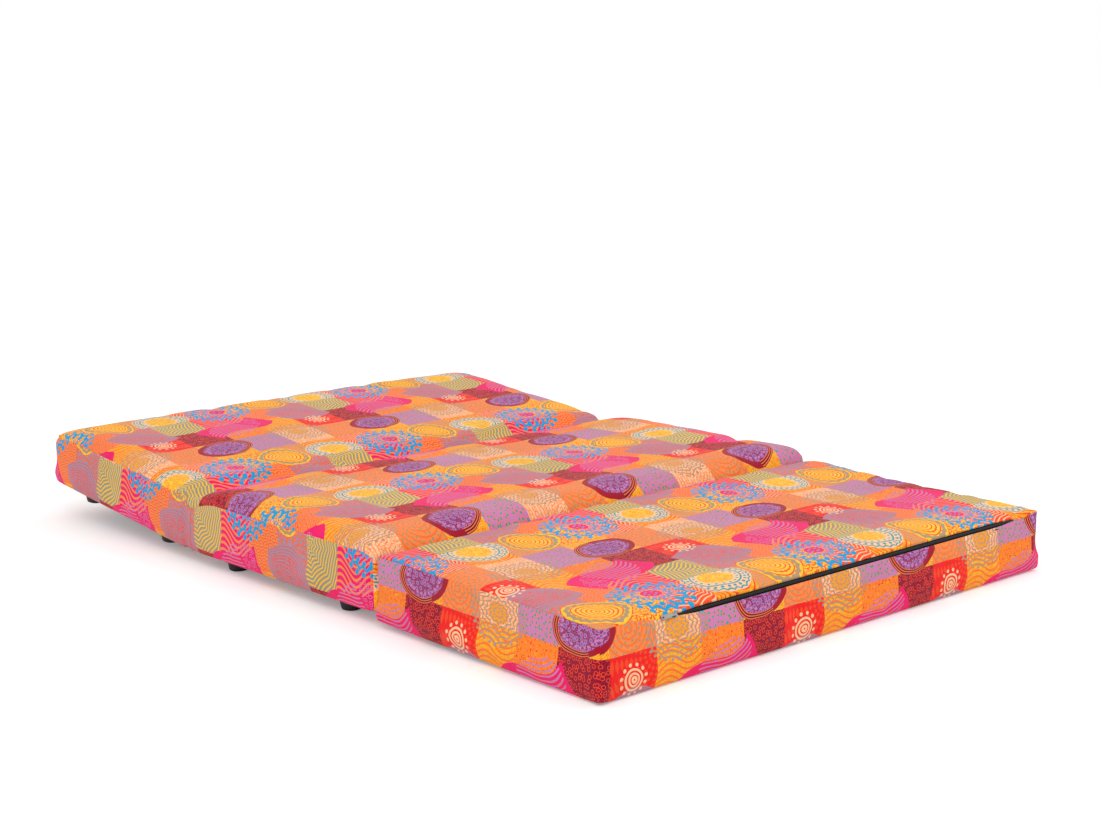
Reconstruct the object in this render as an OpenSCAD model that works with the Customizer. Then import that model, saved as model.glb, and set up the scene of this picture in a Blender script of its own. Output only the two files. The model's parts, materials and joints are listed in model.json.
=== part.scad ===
// Chair bed for two: three upholstered sections that lie in one line as a bed.
// X runs across the bed, Y from the foot end to the head end, Z up from the floor.
// The seat base stands on feet, the backrest swings up on two ratchet hinges,
// and the fold-out cushion turns over on a textile joint and lies on the seat base.

/* [Bed] */
// Width of all three sections
bed_w = 1200; // [900:10:1500]
// Corner radius of the covers, seen from above
corner_r = 26; // [20:1:40]
// How much higher the middle of a section is than its edge
crown_h = 12; // [6:1:18]
// How far the long sides pull in between the corners
side_pull = 5; // [2:0.5:7]
// Thickness of the cover cloth with its lining
cloth_t = 2; // [1.5:0.5:3]
// Gap between two neighbouring covers
joint_gap = 2.4; // [1.6:0.2:5]

/* [Seat base] */
// Length of the seat base
seat_len = 670; // [560:5:760]
// Height of the side edge of the seat base without its feet
seat_h = 134; // [125:1:150]
// How far the front edge rounds down to the fold groove
seat_front_drop = 32; // [20:1:45]
// How far the top slopes down to the groove in front of the backrest
seat_rear_drop = 30; // [20:1:36]

/* [Backrest] */
// Length of the backrest
back_len = 606; // [500:5:700]
// Height of the side edge of the backrest without its feet
back_h = 126; // [122:1:145]
// How far the edge next to the seat rounds down
back_front_drop = 28; // [20:1:38]
// How far the head end rounds down
back_rear_drop = 14; // [4:1:14]
// How far the backrest is raised from flat
back_tilt = 5.5; // [0:0.5:10]

/* [Fold-out cushion] */
// Length of the fold-out cushion
fold_len = 616; // [520:5:660]
// Height of the side edge of the fold-out cushion
fold_h = 128; // [116:1:140]
// How far the top slopes down to the fold groove
fold_rear_drop = 24; // [14:1:30]
// Slope at which the cushion lies between the floor and the seat base
fold_tilt = 1; // [0:0.1:2]

/* [Frame] */
// Thickness of a timber rail
rail_w = 22; // [18:1:28]
// Height of a timber rail
rail_h = 45; // [38:1:50]
// Thickness of the hardboard deck
deck_t = 4; // [3:0.5:6]
// Length of a foot block along the rail
block_len = 80; // [60:1:100]
// Width of a foot block
block_w = 60; // [55:1:80]
// Thickness of a foot block
block_t = 20; // [16:1:25]
// Width of the hem that the cover turns under
hem_w = 40; // [30:1:60]
// Thickness of the dust cover
dust_t = 1.2; // [0.8:0.1:1.6]

/* [Feet] */
// Largest diameter of a foot
foot_d = 52; // [40:1:60]
// Height of a foot
foot_h = 25; // [20:1:35]
// Distance from the side of the bed to the middle of a foot
foot_side = 46; // [46:1:60]
// Distance from the hinge line to the middle of the next foot
foot_from_hinge = 130; // [120:1:180]
// Distance from the free end of a section to the middle of the next foot
foot_from_end = 136; // [80:1:140]

/* [Ratchet hinge] */
// Thickness of a hinge arm
arm_t = 4; // [3:0.5:5]
// Radius of the eye round the pivot pin
eye_r = 9; // [8:0.5:9.5]
// Radius of the pivot pin
pin_r = 4; // [3:0.5:5]
// Height of the pivot above the underside of the covers
pivot_h = 98; // [94:1:100]
// Radius of the screws of the frame
screw_r = 2.5; // [2:0.25:3]

/* [Zip] */
// Length of the zip
zip_len = 960; // [600:10:1040]
// Distance from the left side of the bed to the left end of the zip
zip_from_side = 168; // [120:1:200]
// Width of the slit over the zip
zip_slit = 13; // [10:0.5:15]
// Distance from one tooth to the next of the same row
tooth_pitch = 6; // [5:0.5:10]
// Length of the pull tab
pull_len = 32; // [24:1:40]

/* [Hidden] */
FRAMED_PARTS = [
    "cover", "wadding", "foam", "deck", "rail_left", "rail_right", "rail_front", "rail_rear",
    "rail_centre", "foot_blocks", "dust_cover", "foot_left_front", "foot_right_front",
    "foot_left_rear", "foot_right_rear", "foot_screws", "arm_left", "arm_right", "arm_screws"
];
FOLD_PARTS = ["cover", "wadding", "foam", "base"];

fine = 72;
overrun = 1;
fit_clearance = 0.3;
bore_clearance = 0.05;
screw_clearance = 0.1;

// Upholstery: how a section's skin runs from its hem over the side to the middle of the top.
// Insets are measured inwards from the widest line, the bulge low on the side.
skin_gap = 0.4;
base_round_in = 11;
base_round_mid = 4;
base_round_h = 13;
bulge_share = 0.2;
waist_share = 0.45;
waist_in = 3;
seam_in = 4;
seam_below = 20;
bevel_in = 18;
bevel_below = 5;
shoulder_in = 30;
shoulder_below = 1.5;
top_insets = [50, 85, 130, 205];
least_corner_r = 3;
core_in = 18;
core_below = 14;
end_round_run = 65;
end_slope_run = 120;
corner_steps = 3;
// Where the points of a ring lie along a side and along an end, as shares of its straight length
side_shares = [0.06, 0.15, 0.36, 0.64, 0.85, 0.94];
end_shares = [0.12, 0.26, 0.42, 0.58, 0.74, 0.88];
crown_power = 2.5;

// A section: [length, edge height, drop of the near end, drop of the far end, hem width,
// pull of the far end]
seat = [seat_len, seat_h, seat_front_drop, seat_rear_drop, hem_w, 0];
back = [back_len, back_h, back_front_drop, back_rear_drop, hem_w, side_pull];
fold_hem_w = 24;
fold = [fold_len, fold_h, 0, fold_rear_drop, fold_hem_w, 0];

function len_of(s) = s[0];
function edge_of(s) = s[1];
function near_drop(s) = s[2];
function far_drop(s) = s[3];
function hem_of(s) = s[4];
function end_pull(s) = s[5];

// Rounding falls off as a quarter circle, a slope as a parabola, both from 1 at the edge to 0.
function rounding(t) = t >= 1 ? 0 : 1 - sqrt(1 - pow(1 - max(t, 0), 2));
function slope(t) = t >= 1 ? 0 : pow(1 - max(t, 0), 2);
function dome(t) = 1 - pow(min(abs(t), 1), crown_power);

// Height of the top above the underside, edge drops without and with the crown
function edge_top(s, y) = edge_of(s) - near_drop(s) * rounding(y / end_round_run)
    - far_drop(s) * slope((len_of(s) - y) / end_slope_run);
function top_at(s, x, y) = edge_top(s, y)
    + crown_h * dome(2 * x / bed_w) * dome(2 * y / len_of(s) - 1);

// One ring of the skin: [inset, share of the top height, added height, share of the pull]
function side_rings(t) = [
    [base_round_in, 0, t, 0],
    [base_round_mid, 0, base_round_mid + t / 2, 0],
    [0, bulge_share, 0, 0],
    [waist_in, waist_share, 0, 1],
    [seam_in, 1, -seam_below, 1],
    [bevel_in, 1, -bevel_below, 1],
    [shoulder_in, 1, -shoulder_below, 1]
];
function top_rings() = [for (d = top_insets) [d, 1, 0, 0]];
// The hem ring lies flat under the section
function skin_rings(s, t) = concat([[hem_of(s), 0, t, 0]], side_rings(t), top_rings());

// Outline of a ring, anticlockwise from the near left corner: a rounded rectangle with
// the same number of points at every inset
function corner_points(cx, cy, r, start) =
    [for (i = [0 : corner_steps]) let (a = start + 90 * i / corner_steps)
        [cx + r * cos(a), cy + r * sin(a)]];
function between(a, b, shares) = [for (k = shares) a + (b - a) * k];
function outline(s, d) = let (
        r = max(corner_r - d, least_corner_r),
        x = bed_w / 2 - d - r, y0 = d + r, y1 = len_of(s) - d - r,
        c0 = corner_points(-x, y0, r, 180), c1 = corner_points(x, y0, r, 270),
        c2 = corner_points(x, y1, r, 0), c3 = corner_points(-x, y1, r, 90),
        n = corner_steps
    ) concat(
        c0, between(c0[n], c1[0], end_shares), c1, between(c1[n], c2[0], side_shares),
        c2, between(c2[n], c3[0], end_shares), c3, between(c3[n], c0[0], side_shares)
    );
// Sides pull in between the corners, most in the middle of their length
function pulled(s, p, k) = let (
        along = 1 - pow(2 * p[1] / len_of(s) - 1, 2), across = 1 - pow(2 * p[0] / bed_w, 2),
        far = p[1] > len_of(s) / 2 ? pow(2 * p[1] / len_of(s) - 1, 4) : 0
    ) [
        p[0] - sign(p[0]) * k * side_pull * along * pow(abs(2 * p[0] / bed_w), 4),
        p[1] - k * end_pull(s) * across * far
    ];
// Points of a ring at skin depth t
function ring_points(s, ring, t) = [
    for (p = outline(s, ring[0] + t))
        let (q = pulled(s, p, ring[3]), top = top_at(s, q[0], q[1]))
            [q[0], q[1], ring[1] * (top - t) + ring[2]]
];
function ring_count() = 4 * (corner_steps + 1) + 2 * len(side_shares) + 2 * len(end_shares);
function middle_point(s, t) = [0, len_of(s) / 2, top_at(s, 0, len_of(s) / 2) - t];

function flat_list(lists) = [for (l = lists, p = l) p];
// Strips of triangles between ring number a and ring number b
function strip(a, b, n) = flat_list([for (i = [0 : n - 1]) let (j = (i + 1) % n)
    [[a * n + i, b * n + j, a * n + j], [a * n + i, b * n + i, b * n + j]]]);
function cap(a, tip, n) = [for (i = [0 : n - 1]) [a * n + i, tip, a * n + (i + 1) % n]];
function flipped(faces) = [for (f = faces) [f[2], f[1], f[0]]];

// A thin upholstered skin, open under the section inside its hem
module skin(s) {
    n = ring_count();
    outer = skin_rings(s, 0);
    inner = skin_rings(s, cloth_t);
    m = len(outer);
    points = concat(
        flat_list([for (r = outer) ring_points(s, r, 0)]),
        flat_list([for (r = inner) ring_points(s, r, r[3] == 0 && r[1] == 0
            ? (r[0] == hem_of(s) ? 0 : cloth_t) : cloth_t)]),
        [middle_point(s, 0), middle_point(s, cloth_t)]
    );
    outer_faces = flat_list([for (k = [0 : m - 2]) strip(k, k + 1, n)]);
    inner_faces = flat_list([for (k = [m : 2 * m - 2]) strip(k, k + 1, n)]);
    faces = concat(
        outer_faces, cap(m - 1, 2 * m * n, n), flipped(inner_faces),
        flipped(cap(2 * m - 1, 2 * m * n + 1, n)), flipped(strip(0, m, n))
    );
    polyhedron(points, faces, convexity = 8);
}

// The closed form just inside a skin
module filling(s) {
    n = ring_count();
    t = cloth_t + skin_gap;
    rings = concat(side_rings(t), top_rings());
    m = len(rings);
    points = concat(
        flat_list([for (r = rings) ring_points(s, r, t)]),
        [middle_point(s, t), [0, len_of(s) / 2, t]]
    );
    faces = concat(
        flat_list([for (k = [0 : m - 2]) strip(k, k + 1, n)]),
        cap(m - 1, m * n, n), flipped(cap(0, m * n + 1, n))
    );
    polyhedron(points, faces, convexity = 4);
}

// The foam: a side profile that follows the top, with rounded upright corners. The cavity of
// the wadding is the same form a little grown.
function stations(s) = let (l = len_of(s)) concat(
    [core_in, shoulder_in], [for (d = top_insets) if (d < end_slope_run + core_in) d],
    [for (i = [len(top_insets) - 1 : -1 : 0]) if (top_insets[i] < end_slope_run + core_in)
        l - top_insets[i]],
    [l - shoulder_in, l - core_in]
);
function core_profile(s, base) = concat(
    [[core_in, base]],
    [for (y = stations(s)) [y, edge_top(s, y) - core_below]],
    [[len_of(s) - core_in, base]]
);
core_half = bed_w / 2 - core_in;

module core(s, base, grow) {
    x = core_half + grow;
    intersection() {
        rotate([90, 0, 90])
            translate([0, 0, -x])
                linear_extrude(2 * x)
                    polygon([for (p = core_profile(s, base)) [
                        p[0] + (p[0] < len_of(s) / 2 ? -grow : grow),
                        p[1] + (p[1] == base ? 0 : grow)]]);
        translate([0, 0, base])
            linear_extrude(edge_of(s))
                polygon(outline(s, core_in - grow));
    }
}

// Where the three sections stand
fold_rise = fold_len * sin(fold_tilt);
back_bulge_z = bulge_share * edge_top(back, back_len);
fold_bulge_z = bulge_share * edge_top(fold, 0);
back_reach = (back_len + joint_gap / 2) * cos(back_tilt) + (pivot_h - back_bulge_z) * sin(back_tilt);
fold_reach = joint_gap / 2 + fold_len * cos(fold_tilt);
fold_joint_y = (fold_reach + fold_bulge_z * sin(fold_tilt) - seat_len - joint_gap - back_reach) / 2;
back_joint_y = fold_joint_y + seat_len + joint_gap;
fold_near_y = fold_joint_y - fold_reach;

// Both joint lines are at the height that lets crown lie on crown, or edge clear edge
seat_crown_z = foot_h + seat_h + crown_h;
fold_crown_z = fold_rise / 2 + fold_h + crown_h;
fold_axis_z = (seat_crown_z + fold_crown_z) / 2 + fit_clearance;
back_axis_z = foot_h + pivot_h;

module place_seat() {
    translate([0, fold_joint_y + joint_gap / 2, foot_h]) children();
}
module place_back() {
    translate([0, back_joint_y, back_axis_z])
        rotate([back_tilt, 0, 0])
            translate([0, joint_gap / 2, -pivot_h]) children();
}
module place_fold() {
    translate([0, fold_near_y, 0])
        rotate([fold_tilt, 0, 0]) children();
}
module place_framed(s) {
    if (s == seat) place_seat() children();
    else place_back() children();
}

// Stack inside a framed section
rail_z = cloth_t;
deck_z = rail_z + rail_h;
foam_z = deck_z + deck_t;
rail_outer = core_half;
rail_inner = rail_outer - rail_w;
washer_t = 1;
arm_gap = washer_t + 2 * fit_clearance;
seat_arm_x = rail_inner;
back_arm_x = seat_arm_x - arm_t - arm_gap;
pin_head_t = 3;
pin_head_r = 7;
washer_r = 7.5;

// The back rails are thicker by the seat arm, so that the back arm lies flat on them
function rail_w_of(s) = s == back ? rail_outer - back_arm_x : rail_w;
function arm_x_of(s) = s == back ? back_arm_x : seat_arm_x;
// Along a section, the hinge is at the far end of the seat and at the near end of the back
function hinge_y(s) = s == seat ? len_of(s) + joint_gap / 2 : -joint_gap / 2;
function inward(s) = s == seat ? -1 : 1;
function foot_ys(s) = s == seat
    ? [foot_from_end, len_of(s) - foot_from_hinge]
    : [foot_from_hinge, len_of(s) - foot_from_end];

cover_colour = [0.93, 0.42, 0.2];
wadding_colour = [0.96, 0.95, 0.92];
foam_colour = [0.93, 0.87, 0.62];
wood_colour = [0.78, 0.62, 0.42];
board_colour = [0.5, 0.36, 0.24];
black_colour = [0.05, 0.05, 0.055];
steel_colour = [0.62, 0.63, 0.65];

// Foot of a hinge arm
arm_root_in = 36;
arm_foot_r = 16;

// Room for the hinge arms at the joint line, through skin, wadding, foam and deck
slit_gap = 2;
slit_x0 = back_arm_x - arm_t - pin_head_t - slit_gap;
slit_x1 = seat_arm_x + pin_head_t + slit_gap;
slit_len = arm_root_in + 2 * arm_foot_r;
slit_z0 = deck_z - fit_clearance;
slit_top = pivot_h + eye_r + fit_clearance;

module hinge_slits(s, depth, z0) {
    for (side = [-1, 1])
        translate([
            side * (slit_x0 + slit_x1) / 2, hinge_y(s) + inward(s) * depth / 2, (z0 + slit_top) / 2
        ])
            cube([slit_x1 - slit_x0, depth + 2 * eye_r, slit_top - z0], center = true);
}

module framed_cover(s) {
    color(cover_colour)
        difference() {
            skin(s);
            hinge_slits(s, core_in, slit_z0);
        }
}
module framed_wadding(s) {
    color(wadding_colour)
        difference() {
            filling(s);
            core(s, -overrun, skin_gap);
            translate([-core_half - skin_gap, core_in - skin_gap, 0])
                cube([
                    2 * (core_half + skin_gap), len_of(s) - 2 * (core_in - skin_gap), foam_z
                ]);
            hinge_slits(s, core_in + overrun, rail_z);
        }
}
module framed_foam(s) {
    color(foam_colour)
        difference() {
            core(s, foam_z, 0);
            hinge_slits(s, slit_len, slit_z0);
        }
}
module framed_deck(s) {
    color(board_colour)
        difference() {
            translate([-core_half, core_in, deck_z])
                cube([2 * core_half, len_of(s) - 2 * core_in, deck_t]);
            hinge_slits(s, slit_len, slit_z0);
        }
}

// Screw places on a hinge arm, from the joint line inwards: the arm ends short of the foot block
arm_foot_len = foot_from_hinge - block_len / 2 - overrun;
arm_screw_shares = [0.3, 0.85];
arm_screw_h_share = 0.45;
arm_screw_ys = [for (k = arm_screw_shares)
    arm_root_in + k * (arm_foot_len - arm_foot_r - arm_root_in)];
arm_screw_z = rail_z + rail_h * arm_screw_h_share;
screw_len = 16;
screw_head_r = 4.5;
screw_head_t = 2;

module arm_screw_bores(s, r, deep) {
    for (d = arm_screw_ys)
        translate([arm_x_of(s) - arm_t - overrun, hinge_y(s) + inward(s) * d, arm_screw_z])
            rotate([0, 90, 0])
                cylinder(r = r, h = arm_t + overrun + deep, $fn = fine);
}
module side_rail(s, side) {
    w = rail_w_of(s);
    color(wood_colour)
        mirror([side < 0 ? 1 : 0, 0, 0])
            difference() {
                translate([rail_outer - w, core_in, rail_z])
                    cube([w, len_of(s) - 2 * core_in, rail_h]);
                arm_screw_bores(s, screw_r + screw_clearance, screw_len + overrun);
                foot_bores(s, screw_r + screw_clearance, 0, foot_screw_len + overrun);
            }
}
// An end rail fits between the side rails, and at the joint line also between the hinge arms
module end_rail(s, far) {
    at_hinge = (s == seat) == far;
    half = rail_outer - rail_w_of(s) - (at_hinge ? arm_t + fit_clearance : 0);
    y = far ? len_of(s) - core_in - rail_w : core_in;
    color(wood_colour)
        translate([-half, y, rail_z])
            cube([2 * half, rail_w, rail_h]);
}
module centre_rail(s) {
    color(wood_colour)
        translate([-rail_w / 2, core_in + rail_w, rail_z])
            cube([rail_w, len_of(s) - 2 * core_in - 2 * rail_w, rail_h]);
}

foot_x = bed_w / 2 - foot_side;
foot_screw_len = 15;
foot_recess_r = 7;
foot_recess_h = 8;

module foot_bores(s, r, z0, h) {
    for (x = [-foot_x, foot_x], y = foot_ys(s))
        translate([x, y, z0])
            cylinder(r = r, h = h, $fn = fine);
}
module foot_blocks(s) {
    inner = rail_outer - rail_w_of(s);
    color(wood_colour)
        difference() {
            for (side = [-1, 1], y = foot_ys(s))
                translate([side > 0 ? inner - block_w : -inner, y - block_len / 2, rail_z])
                    cube([block_w, block_len, block_t]);
            foot_bores(s, screw_r + screw_clearance, 0, rail_z + block_t + overrun);
        }
}
module dust_cover(s) {
    color(black_colour)
        difference() {
            translate([0, 0, rail_z - dust_t])
                linear_extrude(dust_t)
                    polygon(outline(s, hem_of(s) + fit_clearance));
            foot_bores(s, screw_r + screw_clearance, 0, 2 * rail_z);
        }
}

foot_flange_h = 4;
foot_base_share = 0.8;
foot_round = 4;
foot_edge_share = 0.33;
// A moulded foot: a turned cup with a flange under the section and a screw recess below
module foot(s, side, far) {
    r = foot_d / 2;
    b = r * foot_base_share;
    color(black_colour)
        translate([side * foot_x, foot_ys(s)[far ? 1 : 0], -foot_h])
            rotate_extrude($fn = fine)
                polygon([
                    [foot_recess_r, 0], [b - foot_round, 0],
                    [b - foot_round * foot_edge_share, foot_round * foot_edge_share],
                    [b, foot_round], [r - foot_round / 2, foot_h - foot_flange_h],
                    [r, foot_h - foot_flange_h / 2], [r, foot_h],
                    [screw_r + screw_clearance, foot_h],
                    [screw_r + screw_clearance, foot_recess_h], [foot_recess_r, foot_recess_h]
                ]);
}
module foot_screws(s) {
    color(steel_colour)
        for (x = [-foot_x, foot_x], y = foot_ys(s))
            translate([x, y, foot_recess_h - foot_h - screw_head_t])
                union() {
                    cylinder(r = screw_head_r, h = screw_head_t, $fn = fine);
                    cylinder(r = screw_r, h = foot_h - foot_recess_h + screw_head_t + foot_screw_len,
                        $fn = fine);
                }
}

// Ratchet hinge arm: a plate on the rail that rises to an eye round the pivot
module arm_plate(s) {
    k = inward(s);
    y0 = hinge_y(s);
    foot_z = rail_z + rail_h / 2;
    rotate([90, 0, 90])
        linear_extrude(arm_t)
            union() {
                hull() {
                    translate([y0 + k * arm_root_in, foot_z]) circle(arm_foot_r, $fn = fine);
                    translate([y0 + k * (arm_foot_len - arm_foot_r), foot_z])
                        circle(arm_foot_r, $fn = fine);
                }
                hull() {
                    translate([y0 + k * arm_root_in, foot_z]) circle(arm_foot_r, $fn = fine);
                    translate([y0, pivot_h]) circle(eye_r, $fn = fine);
                }
            }
}
module hinge_arm(s, side) {
    x = arm_x_of(s) - arm_t;
    color(steel_colour)
        mirror([side < 0 ? 1 : 0, 0, 0])
            difference() {
                translate([x, 0, 0]) arm_plate(s);
                arm_screw_bores(s, screw_r + screw_clearance, overrun);
                translate([x - overrun, hinge_y(s), pivot_h])
                    rotate([0, 90, 0])
                        cylinder(r = pin_r + bore_clearance, h = arm_t + 2 * overrun, $fn = fine);
            }
}
module arm_screws(s) {
    color(steel_colour)
        for (side = [0, 1])
            mirror([side, 0, 0])
                for (d = arm_screw_ys)
                    translate([arm_x_of(s) - arm_t, hinge_y(s) + inward(s) * d, arm_screw_z])
                        rotate([0, 90, 0])
                            union() {
                                translate([0, 0, -screw_head_t])
                                    cylinder(r = screw_head_r, h = screw_head_t, $fn = fine);
                                cylinder(r = screw_r, h = arm_t + screw_len, $fn = fine);
                            }
}

// Pins and washers belong to the seat arms
module hinge_pin(side) {
    h = 2 * arm_t + arm_gap;
    x0 = back_arm_x - arm_t - fit_clearance;
    color(steel_colour)
        place_seat()
            mirror([side < 0 ? 1 : 0, 0, 0])
                translate([x0, hinge_y(seat), pivot_h])
                    rotate([0, 90, 0])
                        union() {
                            translate([0, 0, -pin_head_t])
                                cylinder(r = pin_head_r, h = pin_head_t, $fn = fine);
                            cylinder(r = pin_r, h = h + 2 * fit_clearance, $fn = fine);
                            translate([0, 0, h + 2 * fit_clearance])
                                cylinder(r = pin_head_r, h = pin_head_t, $fn = fine);
                        }
}
module hinge_washers() {
    color(steel_colour)
        place_seat()
            for (side = [0, 1])
                mirror([side, 0, 0])
                    translate([back_arm_x + fit_clearance, hinge_y(seat), pivot_h])
                        rotate([0, 90, 0])
                            difference() {
                                cylinder(r = washer_r, h = washer_t, $fn = fine);
                                translate([0, 0, -overrun])
                                    cylinder(r = pin_r + bore_clearance, h = washer_t + 2 * overrun,
                                        $fn = fine);
                            }
}

// Textile joints: a strip that lies over the hinge eyes from the slope of the seat base to the
// rounded edge of the backrest, and a loop that hangs in the cleft in front of the seat base
web_t = 1;
web_half = bed_w / 2 - corner_r;
back_edge_share = 0.85;
// A place on the backrest as it stands, from its own length and height
function back_place(y, z) = let (v = y + joint_gap / 2, w = z - pivot_h) [
    back_joint_y + v * cos(back_tilt) - w * sin(back_tilt),
    back_axis_z + v * sin(back_tilt) + w * cos(back_tilt)
];
module back_web() {
    seat_end = [
        back_joint_y - joint_gap / 2 - bevel_in,
        foot_h + top_at(seat, 0, seat_len - bevel_in) - bevel_below + fit_clearance
    ];
    bridge = [back_joint_y, back_axis_z + eye_r + fit_clearance];
    low = back_place(seam_in, top_at(back, 0, seam_in) - seam_below);
    high = back_place(bevel_in, top_at(back, 0, bevel_in) - bevel_below);
    back_end = low + back_edge_share * (high - low) - [web_t, 0];
    up = [0, web_t];
    color(cover_colour)
        translate([-web_half, 0, 0])
            rotate([90, 0, 90])
                linear_extrude(2 * web_half)
                    polygon([seat_end, bridge, back_end, back_end + up, bridge + up, seat_end + up]);
}
// A place on the fold-out cushion as it lies, from the joint line, an inset and a height
function fold_place(inset, z) = [
    -joint_gap / 2 - inset * cos(fold_tilt) - z * sin(fold_tilt),
    (fold_len - inset) * sin(fold_tilt) + z * cos(fold_tilt)
];
// The loop is as long as the way round the two crowns once the cushion lies on the seat base
module fold_web() {
    off = [fit_clearance, 0];
    seat_seam = [joint_gap / 2 + seam_in, foot_h + edge_top(seat, seam_in) - seam_below] - off;
    seat_waist = [joint_gap / 2 + waist_in, foot_h + waist_share * edge_top(seat, waist_in)] - off;
    seat_bulge = [joint_gap / 2, foot_h + bulge_share * edge_top(seat, 0)] - off;
    fold_seam = off
        + fold_place(seam_in, edge_top(fold, fold_len - seam_in) - seam_below);
    fold_waist = off
        + fold_place(waist_in, waist_share * edge_top(fold, fold_len - waist_in));
    k = max((fold_waist[1] - seat_bulge[1]) / (seat_waist[1] - seat_bulge[1]), 0);
    seat_low = seat_bulge + k * (seat_waist - seat_bulge);
    side = [web_t, 0];
    up = [0, web_t];
    color(cover_colour)
        translate([-web_half, fold_joint_y, 0])
            rotate([90, 0, 90])
                linear_extrude(2 * web_half)
                    polygon([
                        seat_seam, seat_waist, seat_low, fold_waist, fold_seam, fold_seam + side,
                        fold_waist + side + up, seat_low - side + up, seat_waist - side,
                        seat_seam - side
                    ]);
}

// Fold-out cushion
module fold_cover() {
    color(cover_colour)
        place_fold()
            difference() {
                skin(fold);
                at_zip()
                    cube([zip_len, zip_slit, seam_below], center = true);
            }
}
module fold_wadding() {
    color(wadding_colour)
        place_fold()
            difference() {
                filling(fold);
                core(fold, -overrun, skin_gap);
                at_zip()
                    translate([0, 0, -zip_room / 2])
                        cube([zip_len + 2 * zip_end_room, 2 * (tape_half + overrun), zip_room],
                            center = true);
            }
}
module fold_foam() {
    color(foam_colour)
        place_fold()
            core(fold, cloth_t, 0);
}
module fold_base() {
    color(cover_colour)
        place_fold()
            linear_extrude(cloth_t)
                polygon(outline(fold, fold_hem_w + fit_clearance));
}

// The zip lies on the bevel over the near top edge. Its own frame has X along the bed,
// Y up the bevel and Z out of it, with the origin in the middle of the zip.
bevel_run = bevel_in - seam_in;
bevel_rise = edge_top(fold, bevel_in) - bevel_below - edge_top(fold, seam_in) + seam_below;
zip_angle = atan2(bevel_rise, bevel_run);
zip_y = (bevel_in + seam_in) / 2;
zip_z = (edge_top(fold, bevel_in) - bevel_below + edge_top(fold, seam_in) - seam_below) / 2;
zip_x = zip_from_side + zip_len / 2 - bed_w / 2;
module at_zip() {
    translate([zip_x, zip_y, zip_z])
        rotate([zip_angle, 0, 0]) children();
}
zip_end_room = 6;
tape_t = 1;
tape_half = 9.5;
tape_gap = 1;
skin_depth = cloth_t * (sin(zip_angle) + cos(zip_angle));
tape_z = -skin_depth - fit_clearance - tape_t;
zip_room = 8;
tooth_w = 3.2;
tooth_l = 2.4;
tooth_t = 2;
tooth_cord = 1;
slider_l = 14;
slider_w = 10;
slider_t = 1.2;
stop_l = 4;

module zip_tape(up) {
    color(black_colour)
        place_fold()
            at_zip()
                translate([-zip_len / 2 - zip_end_room + overrun, up ? tape_gap : -tape_half, tape_z])
                    cube([zip_len + 2 * zip_end_room - 2 * overrun, tape_half - tape_gap, tape_t]);
}
// One row of teeth on its cord: a comb cut in one outline, the other row interlocks
module zip_teeth(up) {
    k = up ? 1 : -1;
    x0 = -zip_len / 2 + stop_l + slider_l + 2 * fit_clearance;
    count = floor((zip_len / 2 - stop_l - x0) / tooth_pitch) - 1;
    shift = up ? 0 : tooth_pitch / 2;
    outer = tape_gap + tooth_cord;
    root = tape_gap;
    tip = tape_gap - tooth_w / 2;
    end = shift + count * tooth_pitch;
    color(black_colour)
        place_fold()
            at_zip()
                translate([x0, 0, tape_z + tape_t])
                    linear_extrude(tooth_t)
                        polygon(concat(
                            [[0, k * outer], [0, k * root]],
                            flat_list([for (i = [0 : count - 1]) let (x = shift + i * tooth_pitch)
                                [[x + fit_clearance, k * root], [x + fit_clearance, k * tip],
                                 [x + tooth_l, k * tip], [x + tooth_l, k * root]]]),
                            [[end, k * root], [end, k * outer]]
                        ));
}
module zip_stops() {
    color(steel_colour)
        place_fold()
            at_zip()
                for (x = [-zip_len / 2, zip_len / 2 - stop_l])
                    translate([x, -tape_gap - tooth_cord, tape_z + tape_t])
                        cube([stop_l, 2 * (tape_gap + tooth_cord), tooth_t]);
}
slider_z = tape_z + tape_t + tooth_t + fit_clearance;
wedge_w = 1.4;
wedge_l = 4;
lug_l = 3;
lug_gap = 4.4;
lug_h = 4;
slider_x = -zip_len / 2 + stop_l + slider_l / 2 + fit_clearance;
lug_bore_r = 0.8;
lug_wall = 1;
pivot_z = slider_z + slider_t + lug_h - lug_wall - lug_bore_r;
module zip_slider() {
    color(steel_colour)
        place_fold()
            at_zip()
                translate([slider_x, 0, 0])
                    union() {
                        translate([-slider_l / 2, -slider_w / 2, slider_z])
                            cube([slider_l, slider_w, slider_t]);
                        translate([-slider_l / 2, -slider_w / 2, tape_z - fit_clearance - slider_t])
                            cube([slider_l, slider_w, slider_t]);
                        translate([-slider_l / 2, -wedge_w / 2, tape_z - fit_clearance - slider_t])
                            cube([wedge_l, wedge_w, slider_z - tape_z + fit_clearance + 2 * slider_t]);
                        difference() {
                            for (y = [lug_gap / 2, -lug_gap / 2 - slider_t])
                                translate([-lug_l / 2, y, slider_z + slider_t / 2])
                                    cube([lug_l, slider_t, lug_h + slider_t / 2]);
                            translate([0, 0, pivot_z])
                                rotate([90, 0, 0])
                                    cylinder(r = lug_bore_r + bore_clearance, h = slider_w, center = true,
                                        $fn = fine);
                        }
                    }
}
pull_w = 8;
pull_t = 1.4;
pull_hole_r = 2;
neck_share = 0.34;
tab_share = 0.7;
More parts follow.
